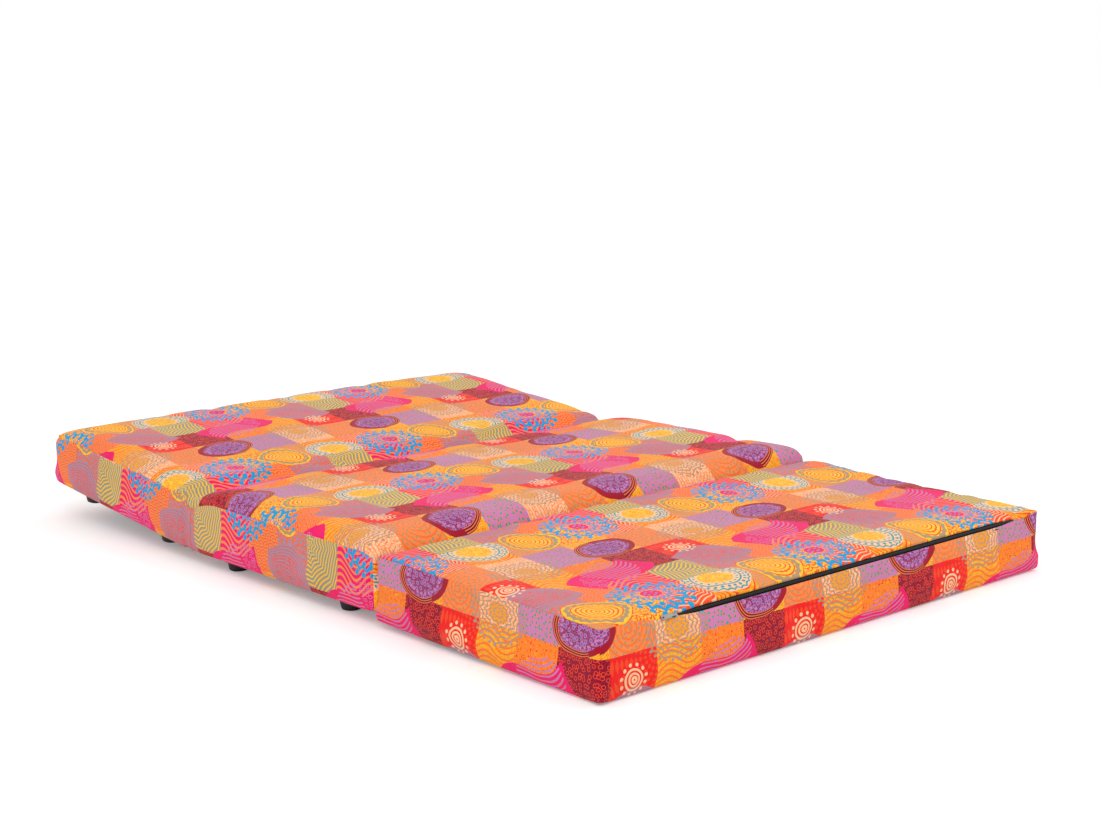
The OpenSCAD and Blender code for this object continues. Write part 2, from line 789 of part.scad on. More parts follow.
module zip_pull() {
    neck = lug_gap - 2 * fit_clearance;
    color(steel_colour)
        place_fold()
            at_zip()
                translate([slider_x, 0, pivot_z])
                    union() {
                        rotate([90, 0, 0])
                            cylinder(r = lug_bore_r, h = lug_gap + 2 * slider_t, center = true, $fn = fine);
                        translate([-pull_len * neck_share, -neck / 2, -pull_t / 2])
                            cube([pull_len * neck_share, neck, pull_t]);
                        difference() {
                            translate([-pull_len, -pull_w / 2, -pull_t / 2])
                                cube([pull_len * tab_share, pull_w, pull_t]);
                            translate([-pull_len + pull_w / 2, 0, -pull_t])
                                cylinder(r = pull_hole_r, h = 2 * pull_t, $fn = fine);
                        }
                    }
}

// Joint lines and travels, printed for the record of the moving parts
pull_place = [
    zip_x + slider_x,
    zip_y - pivot_z * sin(zip_angle),
    zip_z + pivot_z * cos(zip_angle)
];
echo(back_joint = [0, back_joint_y, back_axis_z], fold_joint = [0, fold_joint_y, fold_axis_z]);
echo(pull_joint = [
    pull_place[0],
    fold_near_y + pull_place[1] * cos(fold_tilt) - pull_place[2] * sin(fold_tilt),
    pull_place[1] * sin(fold_tilt) + pull_place[2] * cos(fold_tilt)
], pull_axis = [0, cos(zip_angle + fold_tilt), sin(zip_angle + fold_tilt)]);
echo(slide = zip_len - 2 * stop_l - slider_l - 2 * fit_clearance);

// Draws one named piece of a framed section in its own frame
module framed_part(s, p) {
    if (p == "cover") framed_cover(s);
    if (p == "wadding") framed_wadding(s);
    if (p == "foam") framed_foam(s);
    if (p == "deck") framed_deck(s);
    if (p == "rail_left") side_rail(s, -1);
    if (p == "rail_right") side_rail(s, 1);
    if (p == "rail_front") end_rail(s, false);
    if (p == "rail_rear") end_rail(s, true);
    if (p == "rail_centre") centre_rail(s);
    if (p == "foot_blocks") foot_blocks(s);
    if (p == "dust_cover") dust_cover(s);
    if (p == "foot_left_front") foot(s, -1, false);
    if (p == "foot_right_front") foot(s, 1, false);
    if (p == "foot_left_rear") foot(s, -1, true);
    if (p == "foot_right_rear") foot(s, 1, true);
    if (p == "foot_screws") foot_screws(s);
    if (p == "arm_left") hinge_arm(s, -1);
    if (p == "arm_right") hinge_arm(s, 1);
    if (p == "arm_screws") arm_screws(s);
}

for (p = FRAMED_PARTS) {
    place_framed(seat) framed_part(seat, p);
    place_framed(back) framed_part(back, p);
}
hinge_pin(-1);  // hinge_pin_left
hinge_pin(1);  // hinge_pin_right
hinge_washers();
back_web();
fold_web();
fold_cover();  // foldout_cover
fold_wadding();  // foldout_wadding
fold_foam();  // foldout_foam
fold_base();  // foldout_base
zip_tape(true);  // zip_tape_upper
zip_tape(false);  // zip_tape_lower
zip_teeth(true);  // zip_teeth_upper
zip_teeth(false);  // zip_teeth_lower
zip_stops();
zip_slider();
zip_pull();
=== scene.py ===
# %% [markdown]
# # A chair bed for two, folded out flat
# Three upholstered sections lie one behind the other: a fold-out cushion, a seat base and a backrest.
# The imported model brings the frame, hinges, feet and zip, each in its place. What cloth does is made
# here: the covers, the webs over the two joint lines, and the printed patchwork.

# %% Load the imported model
import json
import math
from dataclasses import dataclass

import bpy
import numpy as np
from mathutils import Matrix, Vector, noise


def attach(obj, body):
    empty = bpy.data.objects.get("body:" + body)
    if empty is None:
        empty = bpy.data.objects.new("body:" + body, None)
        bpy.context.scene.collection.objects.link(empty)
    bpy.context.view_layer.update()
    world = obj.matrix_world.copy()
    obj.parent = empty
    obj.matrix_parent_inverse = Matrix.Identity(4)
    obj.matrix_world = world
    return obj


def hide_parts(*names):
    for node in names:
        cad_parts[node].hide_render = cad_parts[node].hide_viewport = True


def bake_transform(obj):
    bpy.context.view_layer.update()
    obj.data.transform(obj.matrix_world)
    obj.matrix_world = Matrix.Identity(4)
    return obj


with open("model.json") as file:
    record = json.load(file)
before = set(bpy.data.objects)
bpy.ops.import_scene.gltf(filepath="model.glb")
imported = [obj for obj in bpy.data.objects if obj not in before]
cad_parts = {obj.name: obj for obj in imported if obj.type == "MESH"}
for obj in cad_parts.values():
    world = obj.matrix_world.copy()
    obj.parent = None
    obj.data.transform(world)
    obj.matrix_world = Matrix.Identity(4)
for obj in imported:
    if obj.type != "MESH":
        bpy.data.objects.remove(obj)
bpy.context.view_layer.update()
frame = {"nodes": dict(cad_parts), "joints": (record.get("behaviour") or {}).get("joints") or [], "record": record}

MM = 0.001
joint = {j["name"]: j for j in frame["joints"]}
back_line = Vector(joint["back"]["pos_m"])
fold_line = Vector(joint["fold"]["pos_m"])

# %% [markdown]
# ## Camera
# The corners of the three sections in the photograph fix where the camera stood: low, beyond the near
# left corner, with a short telephoto lens. Its direction is built from a yaw, a pitch and a small roll,
# because these three are easy to read back, which the numbers of a rotation matrix are not.

# %% Camera
def add_object(name, data):
    """An object of the data, linked to the scene."""
    made = bpy.data.objects.new(name, data)
    bpy.context.scene.collection.objects.link(made)
    return made


camera_at = Vector((-2.5964, -3.1521, 1.0331))
yaw, pitch, roll = (math.radians(a) for a in (40.83, -10.42, -1.09))
focal_px, image_px, sensor_mm = 1925.7, 1100, 36.0
forward = Vector((math.sin(yaw) * math.cos(pitch), math.cos(yaw) * math.cos(pitch), math.sin(pitch)))
level = Vector((math.cos(yaw), -math.sin(yaw), 0))
right = level * math.cos(roll) + level.cross(forward) * math.sin(roll)
camera = add_object("camera", bpy.data.cameras.new("camera"))
camera.matrix_world = Matrix.Translation(camera_at) @ Matrix(
    (right, right.cross(forward), -forward)).transposed().to_4x4()
camera.data.sensor_width = sensor_mm
camera.data.lens = focal_px / image_px * sensor_mm
bpy.context.scene.camera = camera
print("lens in mm", round(camera.data.lens, 1))

# %% [markdown]
# ## Colours and shader maths
# A screen shows colours in sRGB, where equal steps look equal. A shader adds up light, so it needs the
# linear values, and one function turns the one into the other.

# %% Colours
def as_linear(red, green, blue):
    """A colour as a screen shows it, 0 to 255, as the linear light that a shader mixes."""
    return tuple((c / 12.92 if c <= 0.04045 else ((c + 0.055) / 1.055) ** 2.4)
                 for c in (red / 255, green / 255, blue / 255)) + (1.0,)


print("mid grey in linear light", round(as_linear(128, 128, 128)[0], 3))

# %% [markdown]
# A pattern is arithmetic on the place of a point. Wiring Math nodes by hand hides that arithmetic, so a
# small class wraps a socket and adds a node for each operator. Then a ring is written as it is said:
# the distance from the middle, less its radius, is under half its width.

# %% Wires
class Wire:
    """An output socket. Arithmetic on wires and numbers adds Math nodes."""

    def __init__(self, socket):
        self.socket = socket

    def node(self, kind, settings=None, sockets=None, output=0):
        return add_node(self.socket.id_data, kind, settings, sockets, output)

    def math(self, operation, *others):
        return self.node("ShaderNodeMath", {"operation": operation}, dict(enumerate((self, *others))))

    def __add__(self, other):
        return self.math("ADD", other)

    def __sub__(self, other):
        return self.math("SUBTRACT", other)

    def __rsub__(self, other):
        return (self * -1) + other

    def __mul__(self, other):
        return self.math("MULTIPLY", other)

    def __truediv__(self, other):
        return self.math("DIVIDE", other)

    def __lt__(self, other):
        return self.math("LESS_THAN", other)

    def __gt__(self, other):
        return self.math("GREATER_THAN", other)

    def __and__(self, other):
        return self.math("MULTIPLY", other)

    def __or__(self, other):
        return self.math("MAXIMUM", other)

    def __abs__(self):
        return self.math("ABSOLUTE")

    def floor(self):
        return self.math("FLOOR")

    def fract(self):
        return self.math("FRACT")

    def sin(self):
        return self.math("SINE")

    def wrapped(self, half):
        """Folds the value into the span from -half to half."""
        return self.math("WRAP", half, -half)

    __radd__, __rmul__ = __add__, __mul__

# %% [markdown]
# Nodes are made by one function: settings by name, then a value or a wire for each socket. Colours go
# through the Mix node, because a Math node would turn them grey, and a vector is taken apart by a node
# of its own.

# %% Nodes
def add_node(tree, kind, settings=None, sockets=None, output=0):
    """Adds a node: its settings first, then the values or wires of its sockets."""
    made = tree.nodes.new(kind)
    for name, value in (settings or {}).items():
        setattr(made, name, value)
    for name, value in (sockets or {}).items():
        if isinstance(value, Wire):
            tree.links.new(value.socket, made.inputs[name])
        else:
            made.inputs[name].default_value = value
    return Wire(made.outputs[output])


def blend_colours(share, first, second):
    """first where share is 0 and second where it is 1."""
    return share.node("ShaderNodeMix", {"data_type": "RGBA"}, {0: share, 6: first, 7: second}, 2)


def parts(vector):
    """The three numbers of a vector."""
    first = vector.node("ShaderNodeSeparateXYZ", None, {0: vector})
    return [Wire(output) for output in first.socket.node.outputs]

# %% [markdown]
# Each finish is one Principled shader. What is the same all over stays a constant on the shader's own
# socket, and only what varies over the surface comes in by a wire.

# %% Materials
def new_material(name, **constants):
    """A material with a Principled shader, and the constants on the shader's own sockets."""
    made = bpy.data.materials.new(name)
    made.use_nodes = True
    shader = made.node_tree.nodes["Principled BSDF"]
    for socket, value in constants.items():
        shader.inputs[socket.replace("_", " ")].default_value = value
    return made, made.node_tree, shader


def feed(tree, shader, **wires):
    """Links wires to the shader's sockets by name."""
    for socket, wire in wires.items():
        tree.links.new(wire.socket, shader.inputs[socket.replace("_", " ")])


def bump(height, strength, distance):
    return height.node("ShaderNodeBump", None,
                       {"Strength": strength, "Distance": distance, "Height": height})

# %% [markdown]
# ## The printed patchwork
# The cloth is a cotton print of a traditional kind: a patchwork of squares, each filled with doodles,
# dots, arcs or scallops, and larger medallions laid over the squares. It could be painted on an image,
# but a print that is worked out has no pixels to run out of. Each corner of a cover's faces carries its
# place on the flat cloth in metres, so the print runs along each panel and breaks at the seams.

# %% Dyes
DYES = {
    "orange": as_linear(255, 118, 44), "pale orange": as_linear(255, 140, 72),
    "scarlet": as_linear(252, 70, 28), "red": as_linear(246, 22, 22),
    "crimson": as_linear(168, 12, 42), "plum": as_linear(96, 6, 52),
    "gold": as_linear(255, 160, 24), "yellow": as_linear(255, 202, 44),
    "dusty": as_linear(208, 114, 120), "lilac": as_linear(206, 128, 184),
    "peach": as_linear(255, 204, 158),
    "taupe": as_linear(184, 148, 110), "slate": as_linear(152, 150, 176),
    "violet": as_linear(124, 96, 166), "cyan": as_linear(12, 160, 216),
    "teal": as_linear(70, 158, 172), "magenta": as_linear(246, 0, 104),
}
print(len(DYES), "dyes")

# %% [markdown]
# Each corner of a face says where it lies on the flat cloth. The attribute node reads that place, and
# two wires carry its parts on, across and along the cloth.

# %% Place on the cloth
PATCH = 0.104
REPEAT = 4 * PATCH


def cloth_place(tree):
    """Where a point lies on the flat cloth: across and along, in metres."""
    place = add_node(tree, "ShaderNodeAttribute", {"attribute_name": "cloth"}, None, 1)
    across, along, _ = parts(place)
    return place, across, along


def cloth_noise(place, scale, detail, output=0, **more):
    """Noise over the flat cloth. Output 0 is one number, output 1 a colour of three."""
    return place.node("ShaderNodeTexNoise", {"noise_dimensions": "2D"},
                      {"Vector": place, "Scale": scale, "Detail": detail, **more}, output)


print("the print repeats every", REPEAT, "m")

# %% [markdown]
# Each filling is a mask, 1 on the line and 0 beside it. Doodles come from Voronoi cells: level lines of
# the distance to the nearest seed are the small rings that such prints are drawn with.

# %% Lines, rings and dots
def seeds(place, pitch, randomness):
    """Distance to the nearest of many seeds, 0 on one and about 0.5 between two."""
    return place.node("ShaderNodeTexVoronoi", {"voronoi_dimensions": "2D", "feature": "F1"},
                      {"Vector": place, "Scale": 1 / pitch, "Randomness": randomness})


def level_lines(height, count, width):
    """Lines where the height passes a whole number of steps."""
    return abs((height * count).fract() - 0.5) < width / 2


def ring(distance, radius, width):
    return abs(distance - radius) < width / 2


def polar(x, y):
    return (x * x + y * y).math("SQRT"), y.math("ARCTAN2", x)


def dots(r, angle, count, radius, size):
    """A circle of round dots."""
    along = ((angle * (count / (2 * math.pi))).fract() - 0.5) * (2 * math.pi * radius / count)
    return polar(along, r - radius)[0] < size / 2

# %% [markdown]
# What all fillings share is worked out once. A little noise added to the place bends every line as a
# hand would. The squares take the place as it is, so their edges are as straight as if cut with
# scissors. A square's code is its number in a block of four by four, and each next block up the cloth
# is set over by two.

# %% What all drawings share
WOBBLE = 9 * MM
COARSE, FINE = 34 * MM, 9.8 * MM


class Drawing:
    """The wobbly place, the doodles, and each square's number and own axes."""

    def __init__(self, tree):
        self.place, across, along = cloth_place(tree)
        shift_x, shift_y, _ = parts(cloth_noise(self.place, 16.0, 1.5, output=1))
        self.across = across + (shift_x - 0.5) * WOBBLE
        self.along = along + (shift_y - 0.5) * WOBBLE
        curl = cloth_noise(self.place, 34.0, 0.0)
        coarse, fine = seeds(self.place, COARSE, 0.85), seeds(self.place, FINE, 0.75)
        self.rings = level_lines(coarse, 9.0, 0.38)
        self.curls = level_lines(curl, 19.0, 0.36)
        self.beads = fine < 0.27
        self.circles = ring(fine, 0.32, 0.13)
        column, row = (across / PATCH).floor(), (along / PATCH).floor()
        self.right = self.across / PATCH - column - 0.5
        self.up = self.along / PATCH - row - 0.5
        block = (row / 4).floor()
        self.code = (column + block * 2).math("WRAP", 4, 0) + row.math("WRAP", 4, 0) * 4


print("fine doodles stand about", round(FINE / MM), "mm apart")

# %% [markdown]
# The larger fillings are drawn in a square's own axes: blooms and coils round a point of it, waves and
# scallops across it. A medallion has axes of its own, and its place repeats in offset rows.

# %% Fillings of a square
def bloom(d, x, y, petals, count, width):
    """Rings with petals round a point of the square."""
    r, angle = polar(d.right - x, d.up - y)
    return level_lines(r + abs((angle * petals / 2).sin()) * 0.06, count, width)


def dotted_bloom(d, x, y, around, count):
    """Circles of dots round a point of the square."""
    r, angle = polar(d.right - x, d.up - y)
    lobe = (angle * around).sin() * 0.5 + abs((r * count).fract() - 0.5) * -2.4
    return lobe > -0.42


def coil(d, x, y, turns, width):
    """A coil, as children draw a snail's shell."""
    r, angle = polar(d.right - x, d.up - y)
    return abs((r * turns - angle / (2 * math.pi)).fract() - 0.5) < width / 2


def waves(d, count, width, bend, shift=0.0):
    """Parallel lines that swing to and fro across the square."""
    swing = (d.right * 6.3 + shift).sin() * bend
    return level_lines(d.up + swing, count, width)


def scallops(d, across, width):
    """Rows of half rings that stand on each other like roof tiles."""
    row = (d.up * across).floor()
    x = (d.right * across + row * 0.5).fract() - 0.5
    y = (d.up * across).fract()
    return level_lines(polar(x, y)[0], 3.0, width)

# %% Medallion places
def medallion(d, across, along, width, height, turn=0.0):
    """Place in a medallion: distance from its middle, 1 on its rim, angle, and both axes."""
    block = ((d.along - along) / REPEAT + 0.5).floor()
    x = (d.across - across + block * (REPEAT / 2)).wrapped(REPEAT / 2)
    y = (d.along - along).wrapped(REPEAT / 2)
    c, s = math.cos(turn), math.sin(turn)
    x, y = (x * c + y * s) / (width / 2), (y * c - x * s) / (height / 2)
    return *polar(x, y), x, y

# %% [markdown]
# The sixteen squares of the repeat each have a ground and two drawings, the second beside the first.
# Reading a name out of a small table keeps the layout in one place.

# %% Squares
def draw_squares(d):
    """The colour of the patchwork before the medallions."""
    squares = (
        ("yellow", d.rings, "orange", d.beads, "gold"),
        ("lilac", d.beads, "teal", d.circles, "orange"),
        ("peach", bloom(d, 0.5, -0.5, 9, 13, 0.24), "pale orange", d.circles, "pale orange"),
        ("pale orange", coil(d, 0.1, 0.1, 10, 0.32), "orange", d.beads, "taupe"),
        ("crimson", d.circles, "scarlet", d.rings, "plum"),
        ("orange", d.curls, "gold", d.beads, "scarlet"),
        ("gold", waves(d, 9, 0.36, 0.09), "orange", d.circles, "yellow"),
        ("red", dotted_bloom(d, -0.5, -0.4, 18, 10), "scarlet", d.circles, "red"),
        ("taupe", bloom(d, -0.5, 0.3, 10, 12, 0.36), "yellow", d.circles, "teal"),
        ("magenta", waves(d, 8, 0.4, 0.14, 1.0), "pale orange", d.beads, "magenta"),
        ("pale orange", scallops(d, 6, 0.3), "scarlet", d.circles, "pale orange"),
        ("dusty", d.beads, "slate", d.curls, "orange"),
        ("gold", coil(d, -0.15, 0.0, 12, 0.34), "scarlet", d.beads, "yellow"),
        ("scarlet", bloom(d, 0.0, -0.5, 12, 14, 0.3), "peach", d.circles, "orange"),
        ("yellow", scallops(d, 6, 0.3), "scarlet", d.beads, "orange"),
        ("pale orange", d.curls, "taupe", d.circles, "gold"),
    )
    colour = None
    for number, (ground, first, dye, second, other) in enumerate(squares):
        drawn = blend_colours(second, DYES[ground], DYES[other])
        drawn = blend_colours(first, drawn, DYES[dye])
        here = abs(d.code - number) < 0.5
        colour = drawn if colour is None else blend_colours(here, colour, drawn)
    return colour

# %% [markdown]
# The medallions lie over the squares and pay no heed to them, which is what makes the print look drawn
# and not tiled. Some are filled, and some are only lines through which the squares show. Each is a
# function that takes the colour so far and lays itself over it.

# %% Pebble, wreath and ribbon
def pebble(d, colour):
    """Violet doodles in a striped rim."""
    r, angle, x, _ = medallion(d, 0.052, 0.06, 0.138, 0.1, 0.25)
    rim = blend_colours(level_lines(r, 13.0, 0.42), DYES["plum"], DYES["orange"])
    rim = blend_colours((r > 0.8) & (x > -0.2), DYES["crimson"], rim)
    colour = blend_colours(r < 1.0, colour, rim)
    doodle = blend_colours(d.rings | d.beads, DYES["crimson"], DYES["violet"])
    lines = d.circles | dots(r, angle, 24, 0.66, 0.1)
    return blend_colours(r < 0.8, colour, blend_colours(lines, doodle, DYES["lilac"]))


def taupe_wreath(d, colour):
    """Dots and rings over what lies below, round a gold middle."""
    r, angle, *_ = medallion(d, 0.262, 0.082, 0.15, 0.115)
    petals = r + abs((angle * 6).sin()) * 0.08
    lines = (level_lines(petals, 7.0, 0.34) & (petals < 1.0)) | dots(r, angle, 30, 0.97, 0.09)
    colour = blend_colours(r < 0.36, colour, DYES["gold"])
    return blend_colours(lines, colour, blend_colours(d.beads, DYES["taupe"], DYES["slate"]))


def ribbon(d, colour):
    """A swinging magenta band with lilac lines at one end and circles at the other."""
    r, _, x, y = medallion(d, 0.158, 0.19, 0.19, 0.12, 0.55)
    swing = y + (x * 2.6).sin() * 0.42
    colour = blend_colours((abs(swing) < 0.62) & (abs(x) < 0.94), colour, DYES["magenta"])
    lines = level_lines(swing, 6.4, 0.4) & (r < 0.86) & (x < 0.35)
    lines = lines | (d.circles & (x > 0.42) & (r < 0.9))
    return blend_colours(lines, colour, blend_colours(d.beads, DYES["lilac"], DYES["orange"]))

# %% Leaf, sun and shell
def leaf(d, colour):
    """Two arcs that meet in points, ribbed."""
    *_, x, y = medallion(d, 0.352, 0.222, 0.16, 0.118, -0.4)
    blade = abs(y) + x * x * 0.9
    drawn = blend_colours(level_lines(blade, 8.0, 0.36), DYES["dusty"], DYES["slate"])
    drawn = blend_colours(d.circles & (blade < 0.62), drawn, DYES["scarlet"])
    return blend_colours(blade < 0.95, colour, drawn)


def sun(d, colour):
    """Three rings and twelve dots for rays."""
    r, angle, *_ = medallion(d, 0.364, 0.152, 0.062, 0.062)
    rays = dots(r, angle, 12, 0.88, 0.22)
    lines = ring(r, 0.14, 0.16) | ring(r, 0.36, 0.12) | ring(r, 0.6, 0.13) | rays
    return blend_colours(lines, colour, DYES["peach"])


def shell(d, colour):
    """Teal beads and rings on peach, cut off straight below."""
    r, angle, _, y = medallion(d, 0.046, 0.338, 0.14, 0.12)
    beads = dots(r, angle, 26, 0.8, 0.1) | dots(r, angle, 18, 0.6, 0.08)
    lines = beads | ring(r + abs((angle * 13).sin()) * 0.05, 0.94, 0.05) | ring(r, 0.7, 0.05)
    drawn = blend_colours(lines, DYES["peach"], DYES["teal"])
    colour = blend_colours((r < 0.98) & (y > -0.5), colour, drawn)
    middle = blend_colours(d.circles, DYES["yellow"], DYES["orange"])
    return blend_colours((r < 0.5) & (y > -0.5), colour, middle)

# %% Cyan wreath and gold drop
def cyan_wreath(d, colour):
    """Petals, rings and dots round a magenta heart."""
    r, angle, *_ = medallion(d, 0.2, 0.335, 0.165, 0.15, 0.2)
    petals = r + abs((angle * 9).sin()) * 0.1
    colour = blend_colours(r < 0.24, colour, DYES["magenta"])
    inner = dots(r, angle, 10, 0.33, 0.12) | (ring(r, 0.56, 0.12) & d.beads)
    colour = blend_colours(inner, colour, DYES["lilac"])
    wreath = dots(r, angle, 22, 0.93, 0.15) | ring(petals, 0.82, 0.11) | dots(r, angle, 15, 0.63, 0.14)
    wreath = wreath | ring(petals, 0.49, 0.08) | dots(r, angle, 6, 0.13, 0.07)
    return blend_colours(wreath, colour, DYES["cyan"])


def gold_drop(d, colour):
    """A drop whose rim is a row of scallops."""
    _, angle, x, y = medallion(d, 0.335, 0.348, 0.125, 0.13, 0.6)
    drop = polar(x * (1.1 - y * 0.35), y)[0]
    edge = drop + abs((angle * 9).sin()) * 0.05
    lines = level_lines(drop, 8.0, 0.3) | dots(drop, angle, 20, 0.56, 0.08)
    drawn = blend_colours(lines, DYES["yellow"], DYES["scarlet"])
    drawn = blend_colours(ring(edge, 0.82, 0.12), drawn, DYES["taupe"])
    return blend_colours(edge < 0.98, colour, drawn)


MEDALLIONS = (pebble, taupe_wreath, ribbon, leaf, sun, shell, cyan_wreath, gold_drop)
print(len(MEDALLIONS), "medallions")

# %% [markdown]
# Woven cotton takes the dye unevenly and scatters light at its surface: a little brightness noise, a
# weave of two threads about a millimetre apart as bump, and a soft sheen.

# %% Patchwork cloth
THREADS_APART = 1.1 * MM


def patchwork_cloth():
    made, tree, shader = new_material("patchwork_cloth", Roughness=0.85, Sheen_Weight=0.12,
                                      Sheen_Roughness=0.5, Specular_IOR_Level=0.2)
    d = Drawing(tree)
    colour = draw_squares(d)
    for lay in MEDALLIONS:
        colour = lay(d, colour)
    wave = 2 * math.pi / THREADS_APART
    weave = (d.across * wave).sin() * (d.along * wave).sin()
    uneven = cloth_noise(d.place, 5.0, 5.0, Roughness=0.65)
    worn = cloth_noise(d.place, 420.0, 1.0)
    shade = uneven * 0.24 + worn * 0.2 + weave * 0.03 + 0.76
    colour = d.place.node("ShaderNodeVectorMath", {"operation": "SCALE"}, {0: colour, "Scale": shade})
    height = weave * 0.3 + worn + uneven * 0.5
    feed(tree, shader, Base_Color=colour, Roughness=uneven * 0.12 + 0.8,
         Normal=bump(height, 0.5, 0.4 * MM))
    return made


cloth = patchwork_cloth()
print("nodes in the cloth", len(cloth.node_tree.nodes))

# %% [markdown]
# ## The three covers
# On the real bed each cover is a top panel, a side band and a hem, sewn together and pulled over foam.
# A subdivided cube would round everything alike. Here the top is a grid of threads, and the band
# hangs from its rim in levels, so the seam, the low bulge of the sides, and the hem can each be given
# their own place. A few lengths tell one cushion from another, and its outline is that of its solid.

# %% A section
BED_HALF = 0.6
FAR_SLOPE = 120 * MM
CROWN_POWER = 2.5
FULLER_FROM, FULLER_OVER = 0.25, 0.3
FULL_END, FULL_FADE = 0.2, 0.15
DENT_AT, DENT_REACH = 0.178, 0.02
DENT_FROM, DENT_OVER = 0.46, 0.1


@dataclass
class Section:
    """One cushion in its own frame: x across from the middle, y from the near end, z up."""
    body: str
    place: Matrix         # from the cushion's frame to the object's
    length: float
    edge: float           # height of the top's edge
    crown: float          # how much higher the middle is
    near_drop: float      # how far the near end rolls over
    roll: float           # the length that this takes
    far_drop: float       # how far the far end slopes down
    near_r: float         # corners, seen from above
    far_r: float
    hem: float            # cloth turned under the cushion
    seam_in: float        # the top's seam, inside the widest line
    high_right: float     # how much fuller the right side is
    end_pull: float = 0   # how far a free end pulls in
    full_end: float = 0   # 1 where the crown keeps its height at the far end
    dent: float = 0       # depth of the hollow by the right edge

    def edge_top(self, y, right=0):
        """Height of the top's edge: the near end rounds off, the far end slopes down."""
        near = np.clip(1 - y / (self.roll * (1 - 0.55 * right)), 0, 1)
        far = np.clip(1 - (self.length - y) / FAR_SLOPE, 0, 1)
        rolled = self.near_drop * (1 - np.sqrt(1 - near ** 2))
        return self.edge - rolled - self.far_drop * far ** 2

    def top(self, x, y):
        """Height of the top, with its crown, its fuller right side and its dent."""
        across = 1 - np.abs(x / BED_HALF).clip(0, 1) ** CROWN_POWER
        fall = np.abs(2 * y / self.length - 1).clip(0, 1) ** CROWN_POWER
        along = 1 - np.where(y > self.length / 2, 1 - self.full_end, 1) * fall
        right = ((x - FULLER_FROM) / FULLER_OVER).clip(0, 1)
        right = right * right * (3 - 2 * right)
        fade = 1 - ((y - self.length + FULL_END) / FULL_FADE).clip(0, 1)
        hollow = np.exp(-((y - DENT_AT) / DENT_REACH) ** 2)
        fuller = self.high_right * right * fade
        fuller = fuller - self.dent * hollow * ((x - DENT_FROM) / DENT_OVER).clip(0, 1)
        return self.edge_top(y, right) + self.crown * across * along + fuller


print("bed", 2 * BED_HALF, "m wide")

# %% [markdown]
# The seat base stands level on its feet. The backrest turns about its pivot line and rises a little
# towards the head end. The fold-out cushion lies on the floor, its far end raised by a degree.

# %% The three sections
SEAT_LENGTH, BACK_LENGTH, FOLD_LENGTH = 0.670, 0.606, 0.616
GAP = 2.4 * MM
FOOT = 25 * MM
PIVOT = 98 * MM
SIDE_PULL = 5 * MM

tilt, slope = math.radians(5.5), math.radians(1)
fold_near = fold_line.y - GAP / 2 - FOLD_LENGTH * math.cos(slope)
seat = Section(
    "seat", Matrix.Translation((0, fold_line.y + GAP / 2, FOOT)),
    length=SEAT_LENGTH, edge=0.134, crown=8 * MM, near_drop=0.018, roll=0.058, far_drop=0.030,
    near_r=0.014, far_r=0.012, hem=0.040, seam_in=0.0046, high_right=0.007, dent=10 * MM)
back = Section(
    "back", Matrix.Translation(back_line) @ Matrix.Rotation(tilt, 4, "X")
    @ Matrix.Translation((0, GAP / 2, -PIVOT)),
    length=BACK_LENGTH, edge=0.126, crown=12 * MM, near_drop=0.016, roll=0.042, far_drop=0.014,
    near_r=0.012, far_r=0.034, hem=0.040, seam_in=0.008, high_right=0.004, end_pull=SIDE_PULL)
fold = Section(
    "foldout", Matrix.Translation((0, fold_near, 0)) @ Matrix.Rotation(slope, 4, "X"),
    length=FOLD_LENGTH, edge=0.128, crown=5 * MM, near_drop=0, roll=0.065, far_drop=0.004,
    near_r=0.013, far_r=0.012, hem=0.024, seam_in=0.004, high_right=-0.006, full_end=1)
for section in (seat, back, fold):
    print(section.body, "starts at y", round(section.place.translation.y, 4))

# %% [markdown]
# A rounded rectangle is a rectangle whose corner squares are pressed into quarter discs. The same press
# serves the grid of the top and every level of the band, so their points stay in step. The threads of
# the grid lie close together by the rim, where the cloth turns over.

# %% Rounded outlines
RIM_THREADS = np.array([0, 2, 4, 6, 8.5, 12, 16, 21, 27, 34, 42, 52, 64, 80, 100]) * MM
EVEN_THREADS = 16 * MM
LEAST_RADIUS = 8 * MM


def pressed(section, x, y, inset):
    """Moves points of a rectangle at an inset so that its corners are round."""
    x, y = x.copy(), y.copy()
    near = y < section.length / 2
    r = np.maximum(np.where(near, section.near_r, section.far_r) - inset, LEAST_RADIUS)
    centre_x = BED_HALF - inset - r
    centre_y = np.where(near, inset + r, section.length - inset - r)
    p = (np.abs(x) - centre_x) / r
    q = np.where(near, centre_y - y, y - centre_y) / r
    corner = (p > 0) & (q > 0)
    pp, qq = p.clip(0, 1), q.clip(0, 1)
    new_x = np.sign(x) * (centre_x + r * pp * np.sqrt(1 - qq ** 2 / 2))
    new_y = centre_y + np.where(near, -1, 1) * r * qq * np.sqrt(1 - pp ** 2 / 2)
    return np.where(corner, new_x, x), np.where(corner, new_y, y)


def thread_places(low, high):
    """Places of the grid's threads: dense by the rim, then even."""
    dense = RIM_THREADS[-1]
    count = int(round((high - low - 2 * dense) / EVEN_THREADS))
    middle = np.linspace(low + dense, high - dense, count + 1)
    return np.concatenate((low + RIM_THREADS[:-1], middle, high - RIM_THREADS[-2::-1]))


print("threads across the bed", len(thread_places(-BED_HALF, BED_HALF)))

# %% [markdown]
# The zip of the fold-out cushion lies in the seam over its near end. There the rim of the top and the
# first level of the band part into two lips, which narrow to nothing at the zip's ends, and the faces
# between them are left out.

